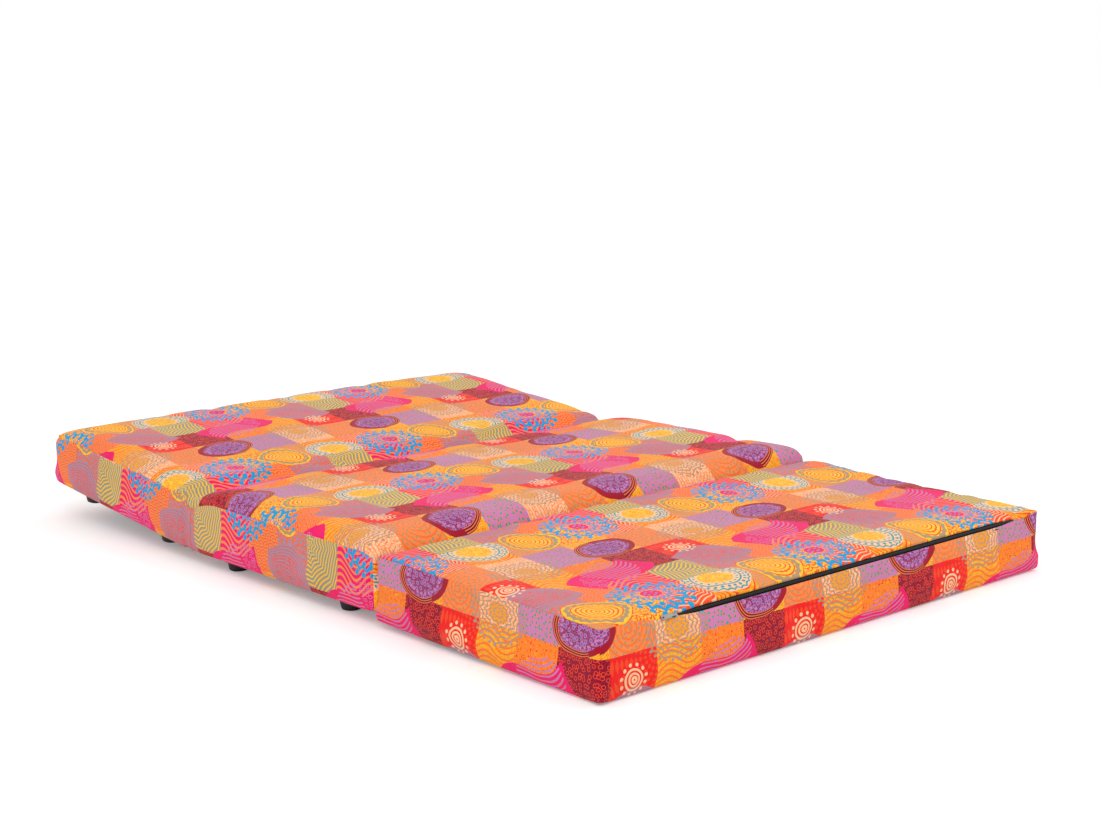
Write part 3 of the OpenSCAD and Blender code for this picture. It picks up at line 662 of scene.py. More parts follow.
# %% Zip opening
ZIP_FROM, ZIP_TO = -0.432, 0.528
ZIP_HALF = 5.2 * MM
ZIP_ANGLE = math.atan2(15, 14)
ZIP_IN, ZIP_BELOW = 11 * MM, 12.5 * MM
LIP = 3.4 * MM
DIP_LEFT, DIP_RIGHT, DIP_BACK = 80 * MM, 50 * MM, 30 * MM
OPEN_LEFT, OPEN_RIGHT = 70 * MM, 55 * MM
PART_TO = 32 * MM


def over_zip(section, x, y):
    """1 where the seam dips to the zip, 0 where it runs on the edge of the fold-out cushion."""
    t = np.minimum((x - ZIP_FROM) / DIP_LEFT + 1, (ZIP_TO - x) / DIP_RIGHT + 1).clip(0, 1)
    away = (1 - (y - DIP_BACK) / DIP_BACK).clip(0, 1)
    return (section.body == "foldout") * t * t * (3 - 2 * t) * away


def zip_share(x):
    """How far the slit is open: 0 beyond the zip, 1 along most of it."""
    left, right = ((x - ZIP_FROM) / OPEN_LEFT).clip(0, 1), ((ZIP_TO - x) / OPEN_RIGHT).clip(0, 1)
    return np.minimum(left, right) ** 0.8


def parted(section, x, y):
    """Moves the near rows of the top's grid back, to make room for the slit."""
    room = over_zip(section, x, 0 * y) * (ZIP_IN - section.seam_in
                                          + zip_share(x) * ZIP_HALF * math.cos(ZIP_ANGLE))
    moved = y + room * (PART_TO - y) / (PART_TO - section.seam_in)
    return np.where(y < PART_TO, moved, y)


print("slit", round(ZIP_TO - ZIP_FROM, 3), "m long")

# %% [markdown]
# Towards its seam the top turns over. The seat base and the backrest have round shoulders, the fold-out
# cushion a crisp edge that stands up a little. Both are tables of how far the top has fallen at a
# distance from the widest line, read with a straight line between two entries.

# %% Seams and shoulders
ROUND_IN = np.array([4, 6, 8, 10.5, 13, 16, 20, 25, 30, 38, 50]) * MM
ROUND_DROP = np.array([23, 17.6, 14, 11.5, 8.6, 6.1, 4.1, 2.5, 1.5, 0.6, 0]) * MM
CRISP_IN = np.array([4, 7, 12, 20, 32, 60, 90]) * MM
CRISP_DROP = np.array([0, -1.8, -2.6, -2.6, -2, -0.8, 0]) * MM
SOFT = 10 * MM


def rim_drop(section, inset, zip_near):
    """How far the top has fallen at an inset. By its zip the fold-out cushion is round too."""
    soft = np.interp(inset, ROUND_IN, ROUND_DROP)
    if section.body != "foldout":
        return soft
    return zip_near * soft + (1 - zip_near) * np.interp(inset, CRISP_IN, CRISP_DROP)


def soft_inset(section, x, y):
    """Distance from the nearest side, rounded off where two sides are about as near."""
    edge_x, edge_y = BED_HALF - np.abs(x), np.minimum(y, section.length - y)
    h = np.clip(0.5 + 0.5 * (edge_y - edge_x) / SOFT, 0, 1)
    return edge_y * (1 - h) + edge_x * h - SOFT * h * (1 - h) * 0.5


def pulled_in(section, x, y, share):
    """The sides pull in between their corners, and a free end does too."""
    along = 1 - (2 * y / section.length - 1) ** 2
    across = 1 - (x / BED_HALF) ** 2
    far = np.where(y > section.length / 2, np.abs(2 * y / section.length - 1) ** 4, 0)
    return (x - np.sign(x) * share * SIDE_PULL * along * np.abs(x / BED_HALF) ** 4,
            y - share * section.end_pull * across * far)


for section in (seat, back, fold):
    print(section.body, "seam lies", round(float(rim_drop(section, section.seam_in, 0)) / MM, 1),
          "mm under the edge")

# %% Points of the top
def top_points(section):
    """The top's threads both ways, its flat grid, and the points that the grid goes to."""
    seam_in = section.seam_in
    xs = thread_places(seam_in - BED_HALF, BED_HALF - seam_in)
    ys = thread_places(seam_in, section.length - seam_in)
    flat_x, flat_y = (g.ravel() for g in np.meshgrid(xs, ys))
    x, y = pressed(section, flat_x, flat_y, seam_in)
    y = parted(section, x, y)
    inset = np.maximum(soft_inset(section, x, y), seam_in)
    z = section.top(x, y) - rim_drop(section, inset, over_zip(section, x, y))
    return xs, ys, flat_x, flat_y, np.stack((x, y, z), 1)


print("the seat's top reaches", round(top_points(seat)[4][:, 2].max(), 4), "m above its hem")

# %% [markdown]
# The band's levels run from the seam over the upright side and the low bulge to the hem under the
# section. A smooth curve goes through them, with more steps where it bends.

# %% Levels of the band
BAND_STEPS = (3, 6, 4, 4, 3, 2)


def smooth_path(knots, steps):
    """Points on a smooth curve through knots, which is an array of knots by points by 3."""
    padded = np.concatenate((knots[:1], knots, knots[-1:]))
    out = []
    for i, count in enumerate(steps):
        a, b, c, d = padded[i:i + 4]
        for t in np.arange(count) / count:
            out.append(0.5 * (2 * b + (c - a) * t + (2 * a - 5 * b + 4 * c - d) * t ** 2
                              + (3 * b - a - 3 * c + d) * t ** 3))
    out.append(knots[-1])
    return np.array(out)


def band_points(section, flat_x, flat_y):
    """The band under the rim of the top, level by level, without the seam itself."""
    seam_in, middle = section.seam_in, section.length / 2
    z_rim = section.top(flat_x, flat_y)
    dips = over_zip(section, flat_x, flat_y)
    below = rim_drop(section, seam_in + (ZIP_IN - seam_in) * dips, dips)
    levels = []
    for inset, share_up, lift, pull in (
            (seam_in, 1, -below, 0),
            (min(seam_in, 4 * MM) - 1 * MM, 1, -below - 9.5 * MM, 1),
            (3 * MM, 0.45, 0, 1),
            (0, 0.2, 0, 0),
            (3.4 * MM, 0, 4.6 * MM, 0),
            (11 * MM, 0, 0.4 * MM, 0),
            (section.hem, 0, 0.2 * MM, 0)):
        stretch_x = (BED_HALF - inset) / (BED_HALF - seam_in)
        stretch_y = (middle - inset) / (middle - seam_in)
        x, y = pressed(section, flat_x * stretch_x, middle + (flat_y - middle) * stretch_y, inset)
        x, y = pulled_in(section, x, y, pull)
        levels.append(np.stack((x, y, share_up * z_rim + lift), 1))
    return smooth_path(np.array(levels), BAND_STEPS)[1:]


print(sum(BAND_STEPS), "levels in each band")

# %% [markdown]
# The underside is the top's grid again, drawn together to the hem's width, which closes the cover.
# Over the zip the top's near row and the band's first level move to the two edges of the slit, and the
# band's second level takes the middle between its neighbours, so that no fold stands under the zip.

# %% Slit and underside
def open_slit(section, xs, top, band):
    """Parts the two rows along the zip, and says between which places the slit is open."""
    columns = len(xs)
    share, mix = zip_share(xs), over_zip(section, xs, 0 * xs)
    edge = section.edge_top(np.zeros(1))[0]
    for row, side in ((top[:columns], 1), (band[0, :columns], -1)):
        lip_y = ZIP_IN + side * ZIP_HALF * share * math.cos(ZIP_ANGLE)
        lip_z = edge - ZIP_BELOW + side * ZIP_HALF * share * math.sin(ZIP_ANGLE)
        row[:, 1] = row[:, 1] * (1 - mix) + lip_y * mix
        row[:, 2] = row[:, 2] * (1 - mix) + lip_z * mix
    for axis in (1, 2):
        half_way = (band[0, :columns, axis] + band[2, :columns, axis]) / 2
        band[1, :columns, axis] = band[1, :columns, axis] * (1 - mix) + half_way * mix
    return [i for i in range(columns - 1) if share[i] > 0 or share[i + 1] > 0]


UNDER_Z = 2.4 * MM


def underside(section, flat_x, flat_y):
    """The grid of the underside, inside the hem and a little above it."""
    middle = section.length / 2
    x = flat_x * (BED_HALF - section.hem) / (BED_HALF - section.seam_in)
    y = middle + (flat_y - middle) * (middle - section.hem) / (middle - section.seam_in)
    x, y = pressed(section, x, y, section.hem)
    return np.stack((x, y, np.full_like(x, UNDER_Z)), 1)


print("the slit is", round(2 * ZIP_HALF / MM, 1), "mm wide")

# %% [markdown]
# A panel is a piece of cloth between seams: the top, the band along each side, and the underside. Each
# face keeps its panel's number, because the print is laid panel by panel. The seams are sewn where two
# panels are cut apart: the cloth of the top runs on down the ends that face the groove and the cleft.

# %% Panels and the walk round the rim
TOP, NEAR, RIGHT, FAR, LEFT, UNDER = range(6)
SEWN = {"seat": (RIGHT, LEFT), "back": (RIGHT, FAR, LEFT), "foldout": (NEAR, RIGHT, FAR, LEFT)}


def rim_walk(columns, rows):
    """Grid places round the rim, anticlockwise from the near left corner."""
    return ([(i, 0) for i in range(columns - 1)]
            + [(columns - 1, j) for j in range(rows - 1)]
            + [(i, rows - 1) for i in range(columns - 1, 0, -1)]
            + [(0, j) for j in range(rows - 1, 0, -1)])


def side_panel(i, j, columns, rows):
    """The panel of the band's faces that follow a rim place anticlockwise."""
    return (NEAR if j == 0 and i < columns - 1 else RIGHT if i == columns - 1 and j < rows - 1
            else FAR if j == rows - 1 and i > 0 else LEFT)


print("seams of the backrest at panels", SEWN["back"])

# %% Points of a cover
def cover_points(section):
    """Points of a closed cover, and the numbers by which later steps find their way in them."""
    xs, ys, flat_x, flat_y, top = top_points(section)
    columns, rows = len(xs), len(ys)
    walk = rim_walk(columns, rows)
    rim = np.array([j * columns + i for i, j in walk])
    band = band_points(section, flat_x[rim], flat_y[rim])
    slit = open_slit(section, xs, top, band) if section.body == "foldout" else []
    sides = np.array([side_panel(i, j, columns, rows) for i, j in walk])
    points = np.concatenate((top, band.reshape(-1, 3), underside(section, flat_x, flat_y)))
    grid = {"columns": columns, "rows": rows, "levels": len(band), "walk": walk, "rim": rim,
            "first": len(top), "base": len(top) + len(band) * len(rim), "slit": slit, "sides": sides,
            "sewn": np.isin(sides, SEWN[section.body])}
    return points, grid


print(len(cover_points(seat)[0]), "points in the seat's cover")

# %% Faces of a cover
def cover_faces(grid):
    """Faces of the top and the underside, then of the band between them, and each one's panel."""
    columns, rim, count = grid["columns"], grid["rim"], len(grid["rim"])
    faces, panels = [], []
    for a in (j * columns + i for j in range(grid["rows"] - 1) for i in range(columns - 1)):
        b = grid["base"] + a
        faces += [(a, a + 1, a + columns + 1, a + columns), (b, b + columns, b + columns + 1, b + 1)]
        panels += [TOP, UNDER]
    rings = [grid["first"] + level * count + np.arange(count) for level in range(grid["levels"])]
    rings = [rim, *rings, grid["base"] + rim]
    for level, (upper, lower) in enumerate(zip(rings, rings[1:])):
        for k in range(count):
            if level == 0 and k in grid["slit"]:
                continue
            after = (k + 1) % count
            faces.append((upper[k], lower[k], lower[after], upper[after]))
            panels.append(grid["sides"][k])
    return faces, panels


def add_lips(points, faces, panels, grid):
    """Cloth that turns in from both edges of the slit, to the zip's tapes."""
    inward = np.array((0, math.sin(ZIP_ANGLE), -math.cos(ZIP_ANGLE))) * LIP
    ends = np.arange(grid["slit"][0], grid["slit"][-1] + 2)
    for ids, panel in ((grid["rim"][ends], TOP), (grid["first"] + ends, NEAR)):
        begin = len(points)
        points = np.concatenate((points, points[ids] + inward))
        for k in range(len(ends) - 1):
            face = (ids[k], ids[k + 1], begin + k + 1, begin + k)
            faces.append(face[::-1] if panel == TOP else face)
            panels.append(panel)
    return points


print(len(cover_faces(cover_points(seat)[1])[0]), "faces in the seat's cover")

# %% [markdown]
# Cloth that is sewn to a rim is never smooth there: short puckers stand square to the seam and die out
# within a few centimetres, and the long sides waver. At a free corner the cloth gathers in small tucks,
# and its lower tip curls out. Every height is noise of the place, so a run gives the same cover again.

# %% Waves, puckers and tucks
FREE_ENDS = {"seat": (1, 0), "back": (0, 1), "foldout": (1, 1)}
LOW_BULGE = {"seat": 0, "back": 0, "foldout": 7 * MM}
TOP_FROM = 12 * MM
TOP_WAVE, TOP_PUCKER, TOP_TUCK = 2.2 * MM, 1.5 * MM, 1.8 * MM
SIDE_WAVE, SIDE_PUCKER, SIDE_IN = 1.6 * MM, 1.2 * MM, 1.5 * MM
SMALL_WAVE = 0.9 * MM
WAVES, SMALL_WAVES, PUCKERS, TUCKS = 5, 13, 26, 9
PUCKER_REACH = 26 * MM
TUCK_FROM, TUCK_REACH = 14 * MM, 15 * MM
BULGE_AT, BULGE_OVER = 34 * MM, 26 * MM
TIP_REACH, TIP_TOP, TIP_RISE = 20 * MM, 45 * MM, 3 * MM


def fading(distance, start, reach):
    """1 up to the start, then less and less."""
    return math.exp(-max(distance - start, 0) / reach)


def rumpled(section, points, seed):
    """Adds what a real cover does: puckers along the seam, soft waves, tucks at the free corners."""
    out = points.copy()
    bulge = LOW_BULGE[section.body]
    for k, (x, y, z) in enumerate(points):
        far = y > section.length / 2
        free = FREE_ENDS[section.body][int(far)]
        ox, oy = BED_HALF - abs(x), min(y, section.length - y)
        out_x, out_y = math.copysign(1, x) * (ox < oy), (1 if far else -1) * (oy <= ox)
        near = min(ox, oy)
        run = y if ox < oy else x
        pucker = noise.noise((run * PUCKERS, seed, z * 4)) * fading(near, TOP_FROM, PUCKER_REACH)
        wave = noise.noise((x * WAVES, y * WAVES, seed + z * 4))
        small = noise.noise((x * SMALL_WAVES, y * SMALL_WAVES, seed + 9 + z * 9))
        if near > TOP_FROM:
            by_corner = fading(math.hypot(ox, oy), TUCK_FROM, TUCK_REACH)
            tuck = free * math.cos(TUCKS * math.atan2(ox, oy)) * by_corner
            rise = TOP_WAVE * wave + SMALL_WAVE * small + TOP_PUCKER * pucker - TOP_TUCK * tuck
            out[k, 2] += rise if z > 20 * MM else 0
        else:
            fade = min(z / (30 * MM), 1)
            low = math.exp(-((z - BULGE_AT) / BULGE_OVER) ** 2) * bulge
            middle = math.sin(math.pi * y / section.length) if out_x else 0.5
            push = SIDE_WAVE * wave + SMALL_WAVE * small + SIDE_PUCKER * pucker + low * middle
            out[k, 0] += out_x * (push - SIDE_IN) * fade
            out[k, 1] += out_y * push * 0.6 * fade
        by_tip = math.exp(-(max(ox + oy - TOP_FROM, 0) / TIP_REACH) ** 2)
        curl = free * by_tip * max(1 - z / TIP_TOP, 0)
        flare = bulge * 0.5
        out[k] += curl * np.array((math.copysign(flare, x), flare if far else -flare, TIP_RISE))
    return out


print("the fold-out cushion's sides bulge by", round(LOW_BULGE["foldout"] / MM), "mm")

# %% Build a cover
def read_all(data, name, width=1, kind=float):
    """One property of all vertices, corners or faces, as an array."""
    out = np.empty(len(data) * width, kind)
    data.foreach_get(name, out)
    return out.reshape(-1, width) if width > 1 else out


def build_cover(section, name, seed):
    """The cover as an object in its section's own frame."""
    points, grid = cover_points(section)
    faces, panels = cover_faces(grid)
    if grid["slit"]:
        points = add_lips(points, faces, panels, grid)
    points = rumpled(section, points, seed)
    mesh = bpy.data.meshes.new(name)
    mesh.from_pydata(points.tolist(), [], faces)
    mesh.attributes.new("panel", "INT", "FACE").data.foreach_set("value", np.array(panels, np.int32))
    sewn = np.zeros(len(points), np.float32)
    sewn[grid["rim"][grid["sewn"]]] = 1
    mesh.attributes.new("sewn", "FLOAT", "POINT").data.foreach_set("value", sewn)
    mesh.shade_smooth()
    return add_object(name, mesh), grid

# %% [markdown]
# One width of cloth runs from the head end over the groove to the fold, and one band runs along each
# side of both sections, so the print doesn't break at the joint line. It breaks where there is a seam:
# at the top's edge along the sides, and all round the fold-out cushion. Each band starts somewhere in
# the repeat, as it does when cloth is cut without matching the print.

# %% Cloth coordinates
RIGHT_FROM, LEFT_FROM, END_FROM, UNDER_FROM = 0.11, 0.22, 0.05, 0.37
SIDE_UP, END_UP, FOLD_UP = 0.196, 0.27, 0.235


def from_side(section, x, y):
    """Distance from the nearest side."""
    return np.minimum(BED_HALF - np.abs(x), np.minimum(y, section.length - y))


def unrolled(section, x):
    """Where a point of the top lies on the flat cloth, across: the shoulder takes more cloth."""
    if section.body == "foldout":
        return x
    length = np.hypot(np.diff(ROUND_IN), np.diff(ROUND_DROP))
    taken = np.concatenate((np.cumsum((length - np.diff(ROUND_IN))[::-1])[::-1], [0]))
    return x + np.sign(x) * np.interp(BED_HALF - np.abs(x), ROUND_IN, taken)


def cloth_at(section, panel, x, y, z):
    """The place on the flat cloth of points in a section's own frame."""
    inset = from_side(section, x, y)
    z = z - np.where(z < 12 * MM, np.maximum(inset - 2 * MM, 0), 0)
    if section.body == "foldout":
        u = np.select([panel == TOP, panel == RIGHT, panel == FAR, panel == LEFT],
                      [x, y + RIGHT_FROM, END_FROM - x, 2 * PATCH - y], x + UNDER_FROM)
        return -u, -np.where((panel == TOP) | (panel == UNDER), y, z + FOLD_UP)
    on_run = 0.0 if section.body == "seat" else SEAT_LENGTH + GAP
    seam_in = section.seam_in
    fall = section.top(x, y) - rim_drop(section, seam_in, 0) - z
    wrapped = np.select([panel == NEAR, panel == FAR],
                        [seam_in - fall, section.length - seam_in + fall], y)
    end_band = (panel == FAR) & (section.body == "back")
    u = np.select([panel == RIGHT, panel == LEFT, end_band],
                  [y + on_run + RIGHT_FROM, LEFT_FROM - y - on_run, END_FROM - x],
                  unrolled(section, x))
    v = np.select([(panel == RIGHT) | (panel == LEFT), end_band], [z + SIDE_UP, z + END_UP],
                  wrapped + on_run)
    return u, v


print("a shoulder takes", round(float(unrolled(seat, np.array(BED_HALF)) - BED_HALF) / MM, 1),
      "mm of cloth more than its width")

# %% Lay the cloth on a mesh
def lay_cloth(piece, section):
    """Writes each corner's place on the flat cloth, panel by panel."""
    mesh = piece.data
    corner = read_all(mesh.loops, "vertex_index", kind=np.int32)
    x, y, z = read_all(mesh.vertices, "co", 3)[corner].T
    panel = np.repeat(read_all(mesh.attributes["panel"].data, "value", kind=np.int32),
                      read_all(mesh.polygons, "loop_total", kind=np.int32))
    place = np.stack((*cloth_at(section, panel, x, y, z), np.zeros(len(corner))), 1)
    mesh.attributes.new("cloth", "FLOAT_VECTOR", "CORNER").data.foreach_set(
        "vector", place.astype(np.float32).ravel())

# %% [markdown]
# A subdivision smooths the mesh itself, so its own shape is smooth too and not only its render. After it
# the stitches draw the seam in. The depth follows how near a point lies to them, which the attribute
# "sewn" tells because a subdivision spreads it a little to both sides, and it wavers with the gathers of the
# thread.

# %% Smooth the covers and draw the seams in
GATHERS = 70


def settle(piece, levels):
    """Applies the piece's modifiers and a subdivision, so that the mesh itself is smooth."""
    modifier = piece.modifiers.new("smooth", "SUBSURF")
    modifier.levels = modifier.render_levels = levels
    evaluated = piece.evaluated_get(bpy.context.evaluated_depsgraph_get())
    mesh = bpy.data.meshes.new_from_object(evaluated)
    piece.modifiers.clear()
    old, piece.data = piece.data, mesh
    bpy.data.meshes.remove(old)


def sewn_in(cover, depth):
    """Draws the seam in: each point moves inwards by how near it lies to the stitches."""
    mesh = cover.data
    sewn = read_all(mesh.attributes["sewn"].data, "value")
    co, normal = read_all(mesh.vertices, "co", 3), read_all(mesh.vertices, "normal", 3)
    gathers = np.array([noise.noise((p[0] * GATHERS, p[1] * GATHERS, 5)) for p in co[sewn > 0]])
    pull = np.zeros(len(co))
    pull[sewn > 0] = sewn[sewn > 0] ** 0.7 * depth * (1 + 0.5 * gathers)
    mesh.vertices.foreach_set("co", (co - normal * pull[:, None]).ravel())
    mesh.update()

# %% [markdown]
# A real cover is cut a little large, and the foam presses it out. Blender's cloth solver does the same:
# the seams and the underside are held, the rest grows by a small share and is pushed outwards. Each
# point may move a few millimetres only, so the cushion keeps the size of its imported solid.

# %% What the solver holds
HOLD_STEPS = 10
HELD_LOW, FREE_HIGH = 4 * MM, 14 * MM
MIDDLE_FROM, MIDDLE_OVER = 60 * MM, 90 * MM


def held_share(section, grid, co):
    """How firmly each point is held: wholly on the underside, half in the middle of the top."""
    held = np.clip(1 - (co[:, 2] - HELD_LOW) / FREE_HIGH, 0, 1)
    held[grid["base"]:] = 1
    inner = from_side(section, co[:, 0], co[:, 1])
    held = np.maximum(held, 0.5 * np.clip((inner - MIDDLE_FROM) / MIDDLE_OVER, 0, 1))
    held[grid["rim"]] = 0.9
    if grid["slit"]:
        held[grid["first"]:grid["first"] + grid["columns"]] = 1
    return held


def hold(cover, held):
    """Writes the shares into a vertex group, in steps of a tenth."""
    group = cover.vertex_groups.new(name="held")
    for step in range(HOLD_STEPS + 1):
        ids = np.nonzero(np.round(held * HOLD_STEPS) == step)[0].tolist()
        if ids:
            group.add(ids, step / HOLD_STEPS, "REPLACE")


print("held in steps of", 1 / HOLD_STEPS)

# %% Press the foam into the covers
SOLVER_FRAMES = 20


def foam_pressure(cover):
    """Adds the cloth solver to the cover, with a small growth and a light pressure from inside."""
    modifier = cover.modifiers.new("foam", "CLOTH")
    solver = modifier.settings
    solver.quality, solver.mass = 5, 0.3
    solver.tension_stiffness = solver.compression_stiffness = 15
    solver.shear_stiffness, solver.bending_stiffness = 5, 0.5
    solver.use_pressure, solver.uniform_pressure_force = True, 4
    solver.shrink_min = -0.012
    solver.vertex_group_mass, solver.pin_stiffness = "held", 1
    solver.effector_weights.gravity = 0
    modifier.point_cache.frame_end = SOLVER_FRAMES


def pressed_out(cover, section, grid, cap):
    """Runs the cloth solver on the cover and keeps the result, capped."""
    mesh = cover.data
    co = read_all(mesh.vertices, "co", 3)
    hold(cover, held_share(section, grid, co))
    foam_pressure(cover)
    for number in range(1, SOLVER_FRAMES + 1):
        bpy.context.scene.frame_set(number)
    evaluated = cover.evaluated_get(bpy.context.evaluated_depsgraph_get())
    moved = read_all(evaluated.data.vertices, "co", 3) - co
    length = np.linalg.norm(moved, axis=1)
    moved *= (cap * np.tanh(length / cap) / np.maximum(length, 1e-9))[:, None]
    cover.modifiers.clear()
    cover.vertex_groups.clear()
    mesh.vertices.foreach_set("co", (co + moved).ravel())
    mesh.update()
    bpy.context.scene.frame_set(1)
    print(cover.name, "moved at most", round(length.max() / MM, 1), "mm before the cap")

# %% [markdown]
# Where two cushions face each other they stay within 0.8 mm of flat, so that the sections can swing.
# Then each cover takes its steps in turn: built, pressed out, kept flat, smoothed, sewn, and laid with
# cloth. What it looked like before the smoothing is kept for the web that joins two covers.

# %% Make the covers
SWELL = {"seat": 5 * MM, "back": 7 * MM, "foldout": 5 * MM}
JOINT_ENDS = {"seat": (1, 1), "back": (1, 0), "foldout": (0, 1)}
END_ROOM = 0.8 * MM
SEAM_DEPTH = 1.5 * MM


def kept_flat(section, points):
    """Keeps the ends that face another cushion within a little of their planes."""
    points = points.copy()
    near, far = JOINT_ENDS[section.body]
    for wanted, sign, end in ((near, -1, 0), (far, 1, section.length)):
        over = (points[:, 1] - end) * sign
        flat = end + sign * END_ROOM * np.tanh(over / END_ROOM)
        points[:, 1] = np.where(wanted * (over > 0), flat, points[:, 1])
    return points


shells, grids = {}, {}
for section, name, seed in ((seat, "seat_cover_cloth", 3.0), (back, "back_cover_cloth", 11.0),
                            (fold, "foldout_cover_cloth", 21.0)):
    cover, grid = build_cover(section, name, seed)
    pressed_out(cover, section, grid, SWELL[section.body])
    shell = kept_flat(section, read_all(cover.data.vertices, "co", 3))
    cover.data.vertices.foreach_set("co", shell.ravel())
    shells[section.body], grids[section.body] = shell, grid
    settle(cover, 1)
    sewn_in(cover, SEAM_DEPTH)
    lay_cloth(cover, section)
    cover.data.transform(section.place)
    cover.data.materials.clear()
    cover.data.materials.append(cloth)
    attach(cover, section.body)
    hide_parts(section.body + "_cover", section.body + "_wadding", section.body + "_foam")
    print(name, len(cover.data.polygons), "faces")

# %% [markdown]
# ## Cloth over the joint lines
# A strip that crosses a joint is a fixed mesh: one edge lies on one cover, the other edge on the
# other. It is a row of lines of points, with the place of each point on the flat cloth, and Solidify
# gives it the thickness of cloth.

# %% A strip of cloth
CLOTH_THICK = 0.8 * MM


def strip_mesh(name, lines, places):
    """A strip through lines of points, with each point's place on the flat cloth."""
    lines, places = np.array(lines), np.array(places)
    rows, columns = lines.shape[:2]
    mesh = bpy.data.meshes.new(name)
    faces = [(a, a + 1, a + columns + 1, a + columns)
             for a in (j * columns + i for j in range(rows - 1) for i in range(columns - 1))]
    mesh.from_pydata(lines.reshape(-1, 3).tolist(), [], faces)
    corner = read_all(mesh.loops, "vertex_index", kind=np.int32)
    place = np.zeros((len(corner), 3), np.float32)
    place[:, :2] = places.reshape(-1, 2)[corner]
    mesh.attributes.new("cloth", "FLOAT_VECTOR", "CORNER").data.foreach_set("vector", place.ravel())
    mesh.shade_smooth()
    made = add_object(name, mesh)
    thick = made.modifiers.new("thick", "SOLIDIFY")
    thick.thickness, thick.offset = CLOTH_THICK, -1
    settle(made, 0)
    made.data.materials.append(cloth)
    return made

# %% [markdown]
# Between the backrest and the seat base one strip of cloth runs up the left side, over the top and down
# the right side, and the print runs on across it with only a small crease. Its two edges are cuts
# through the finished covers, so it meets them whatever shape the foam has pressed them into.

# %% Cuts through the covers
CUT_AT = 6          # the thread of each cover, from its end, that the strip starts from
UNDER_LEVELS = 5    # the band's last levels, which lie under the cushion


def cross_section(section, row):
    """A cover's points along one cut: up the left side, over the top and down the right side."""
    grid, shell = grids[section.body], shells[section.body]
    columns, count = grid["columns"], len(grid["rim"])
    left, right = (grid["walk"].index((i, row)) for i in (0, columns - 1))
    levels = range(grid["levels"] - UNDER_LEVELS)
    up = [grid["first"] + level * count + left for level in reversed(levels)]
    down = [grid["first"] + level * count + right for level in levels]
    panel = np.array([LEFT] * len(up) + [TOP] * columns + [RIGHT] * len(down))
    return shell[up + list(range(row * columns, (row + 1) * columns)) + down], panel


def to_world(section, points):
    return np.array([section.place @ Vector(p) for p in points])


seat_cut, panel = cross_section(seat, grids["seat"]["rows"] - 1 - CUT_AT)
back_cut, _ = cross_section(back, CUT_AT)
u, v = cloth_at(seat, panel, *seat_cut.T)
seat_cut, back_cut = to_world(seat, seat_cut), to_world(back, back_cut)
width = np.linalg.norm(back_cut - seat_cut, axis=1)
print("the cuts lie", round(width.mean() / MM, 1), "mm apart on average")

# %% [markdown]
# The strip sags inwards between the cuts: down on the top, sideways on the legs, and a blend of both
# over the shoulders. It sags less on the legs, and the depth wavers a little along the groove.

# %% Joint web
INWARDS = {TOP: (0, 0, -1.0), LEFT: (1.0, 0, 0), RIGHT: (-1.0, 0, 0)}
TOP_SAG, LEG_SAG, WAVER = 5.5 * MM, 3.0 * MM, 1.2 * MM
TUCKED_UNDER = 0.5 * MM
inwards = np.array([INWARDS[p] for p in panel])
for i in np.nonzero(np.diff(panel))[0]:
    inwards[i - 2:i + 4] += 0.8 * np.array(INWARDS[TOP])
inwards /= np.linalg.norm(inwards, axis=1)[:, None]
depth = np.where(panel == TOP, TOP_SAG, LEG_SAG)
depth = np.convolve(np.pad(depth, 4, mode="edge"), np.full(9, 1 / 9), "valid")
waver = WAVER * np.array([noise.noise((x * SMALL_WAVES, z * SMALL_WAVES, 4)) for x, _, z in seat_cut])
lines, places = [], []
for t in np.linspace(0, 1, 17):
    sag = (depth + waver) * math.sin(math.pi * t) ** 1.4 - TUCKED_UNDER
    lines.append(seat_cut * (1 - t) + back_cut * t + inwards * sag[:, None])
    run = t * width
    places.append(np.stack((np.select([panel == LEFT, panel == RIGHT], [u - run, u + run], u),
                            np.where(panel == TOP, v + run, v)), 1))
joint_web = strip_mesh("joint_web_cloth", lines, places)
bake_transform(joint_web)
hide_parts("back_web")
print("joint web", len(joint_web.data.polygons), "faces")

# %% [markdown]
# In the cleft by the fold-out cushion hangs a short loop of cloth, sewn to the seat base with one edge
# and to the cushion with the other. It hangs free, so its middle is simply lower than its edges.

# %% Fold loop
WEB_HALF = 0.584
LOOP_SAG, LOOP_CLOTH = 14 * MM, 30 * MM
web_x = np.linspace(-WEB_HALF, WEB_HALF, 74)
waver = np.array([noise.noise((x * 11, 4, 2)) for x in web_x]) * WAVER
seat_seam = np.array((fold_line.y + GAP / 2 + 6 * MM, FOOT + 92 * MM))
fold_seam = np.array((fold_line.y - GAP / 2 - 8 * MM, 94 * MM))
hang, places = [], []
for t in np.linspace(0, 1, 15):
    y, z = seat_seam * (1 - t) + fold_seam * t
    sag = LOOP_SAG * math.sin(math.pi * t)
    hang.append(np.stack((web_x, np.full_like(web_x, y), z - sag + waver), 1))
    places.append(np.stack((web_x, np.full_like(web_x, -0.05 - LOOP_CLOTH * t)), 1))
loop = strip_mesh("fold_web_cloth", hang, places)
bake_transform(loop)
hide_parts("fold_web")
print("fold loop", len(loop.data.polygons), "faces")

# %% [markdown]
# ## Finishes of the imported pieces
# Feet, frame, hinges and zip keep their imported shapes. Each finish is worked out from the place in the
# object. Moulded plastic is near black with a fine grain, and plated steel has faint blotches where the
# bath took unevenly, so both are two noises: a broad one for the colour and a fine one for the bump.

# %% Moulded plastic and plated steel
def object_place(tree):
    return add_node(tree, "ShaderNodeTexCoord", None, None, 3)


def noise_at(place, scale, detail, rough=0.5):
    return place.node("ShaderNodeTexNoise", None,
                      {"Vector": place, "Scale": scale, "Detail": detail, "Roughness": rough})


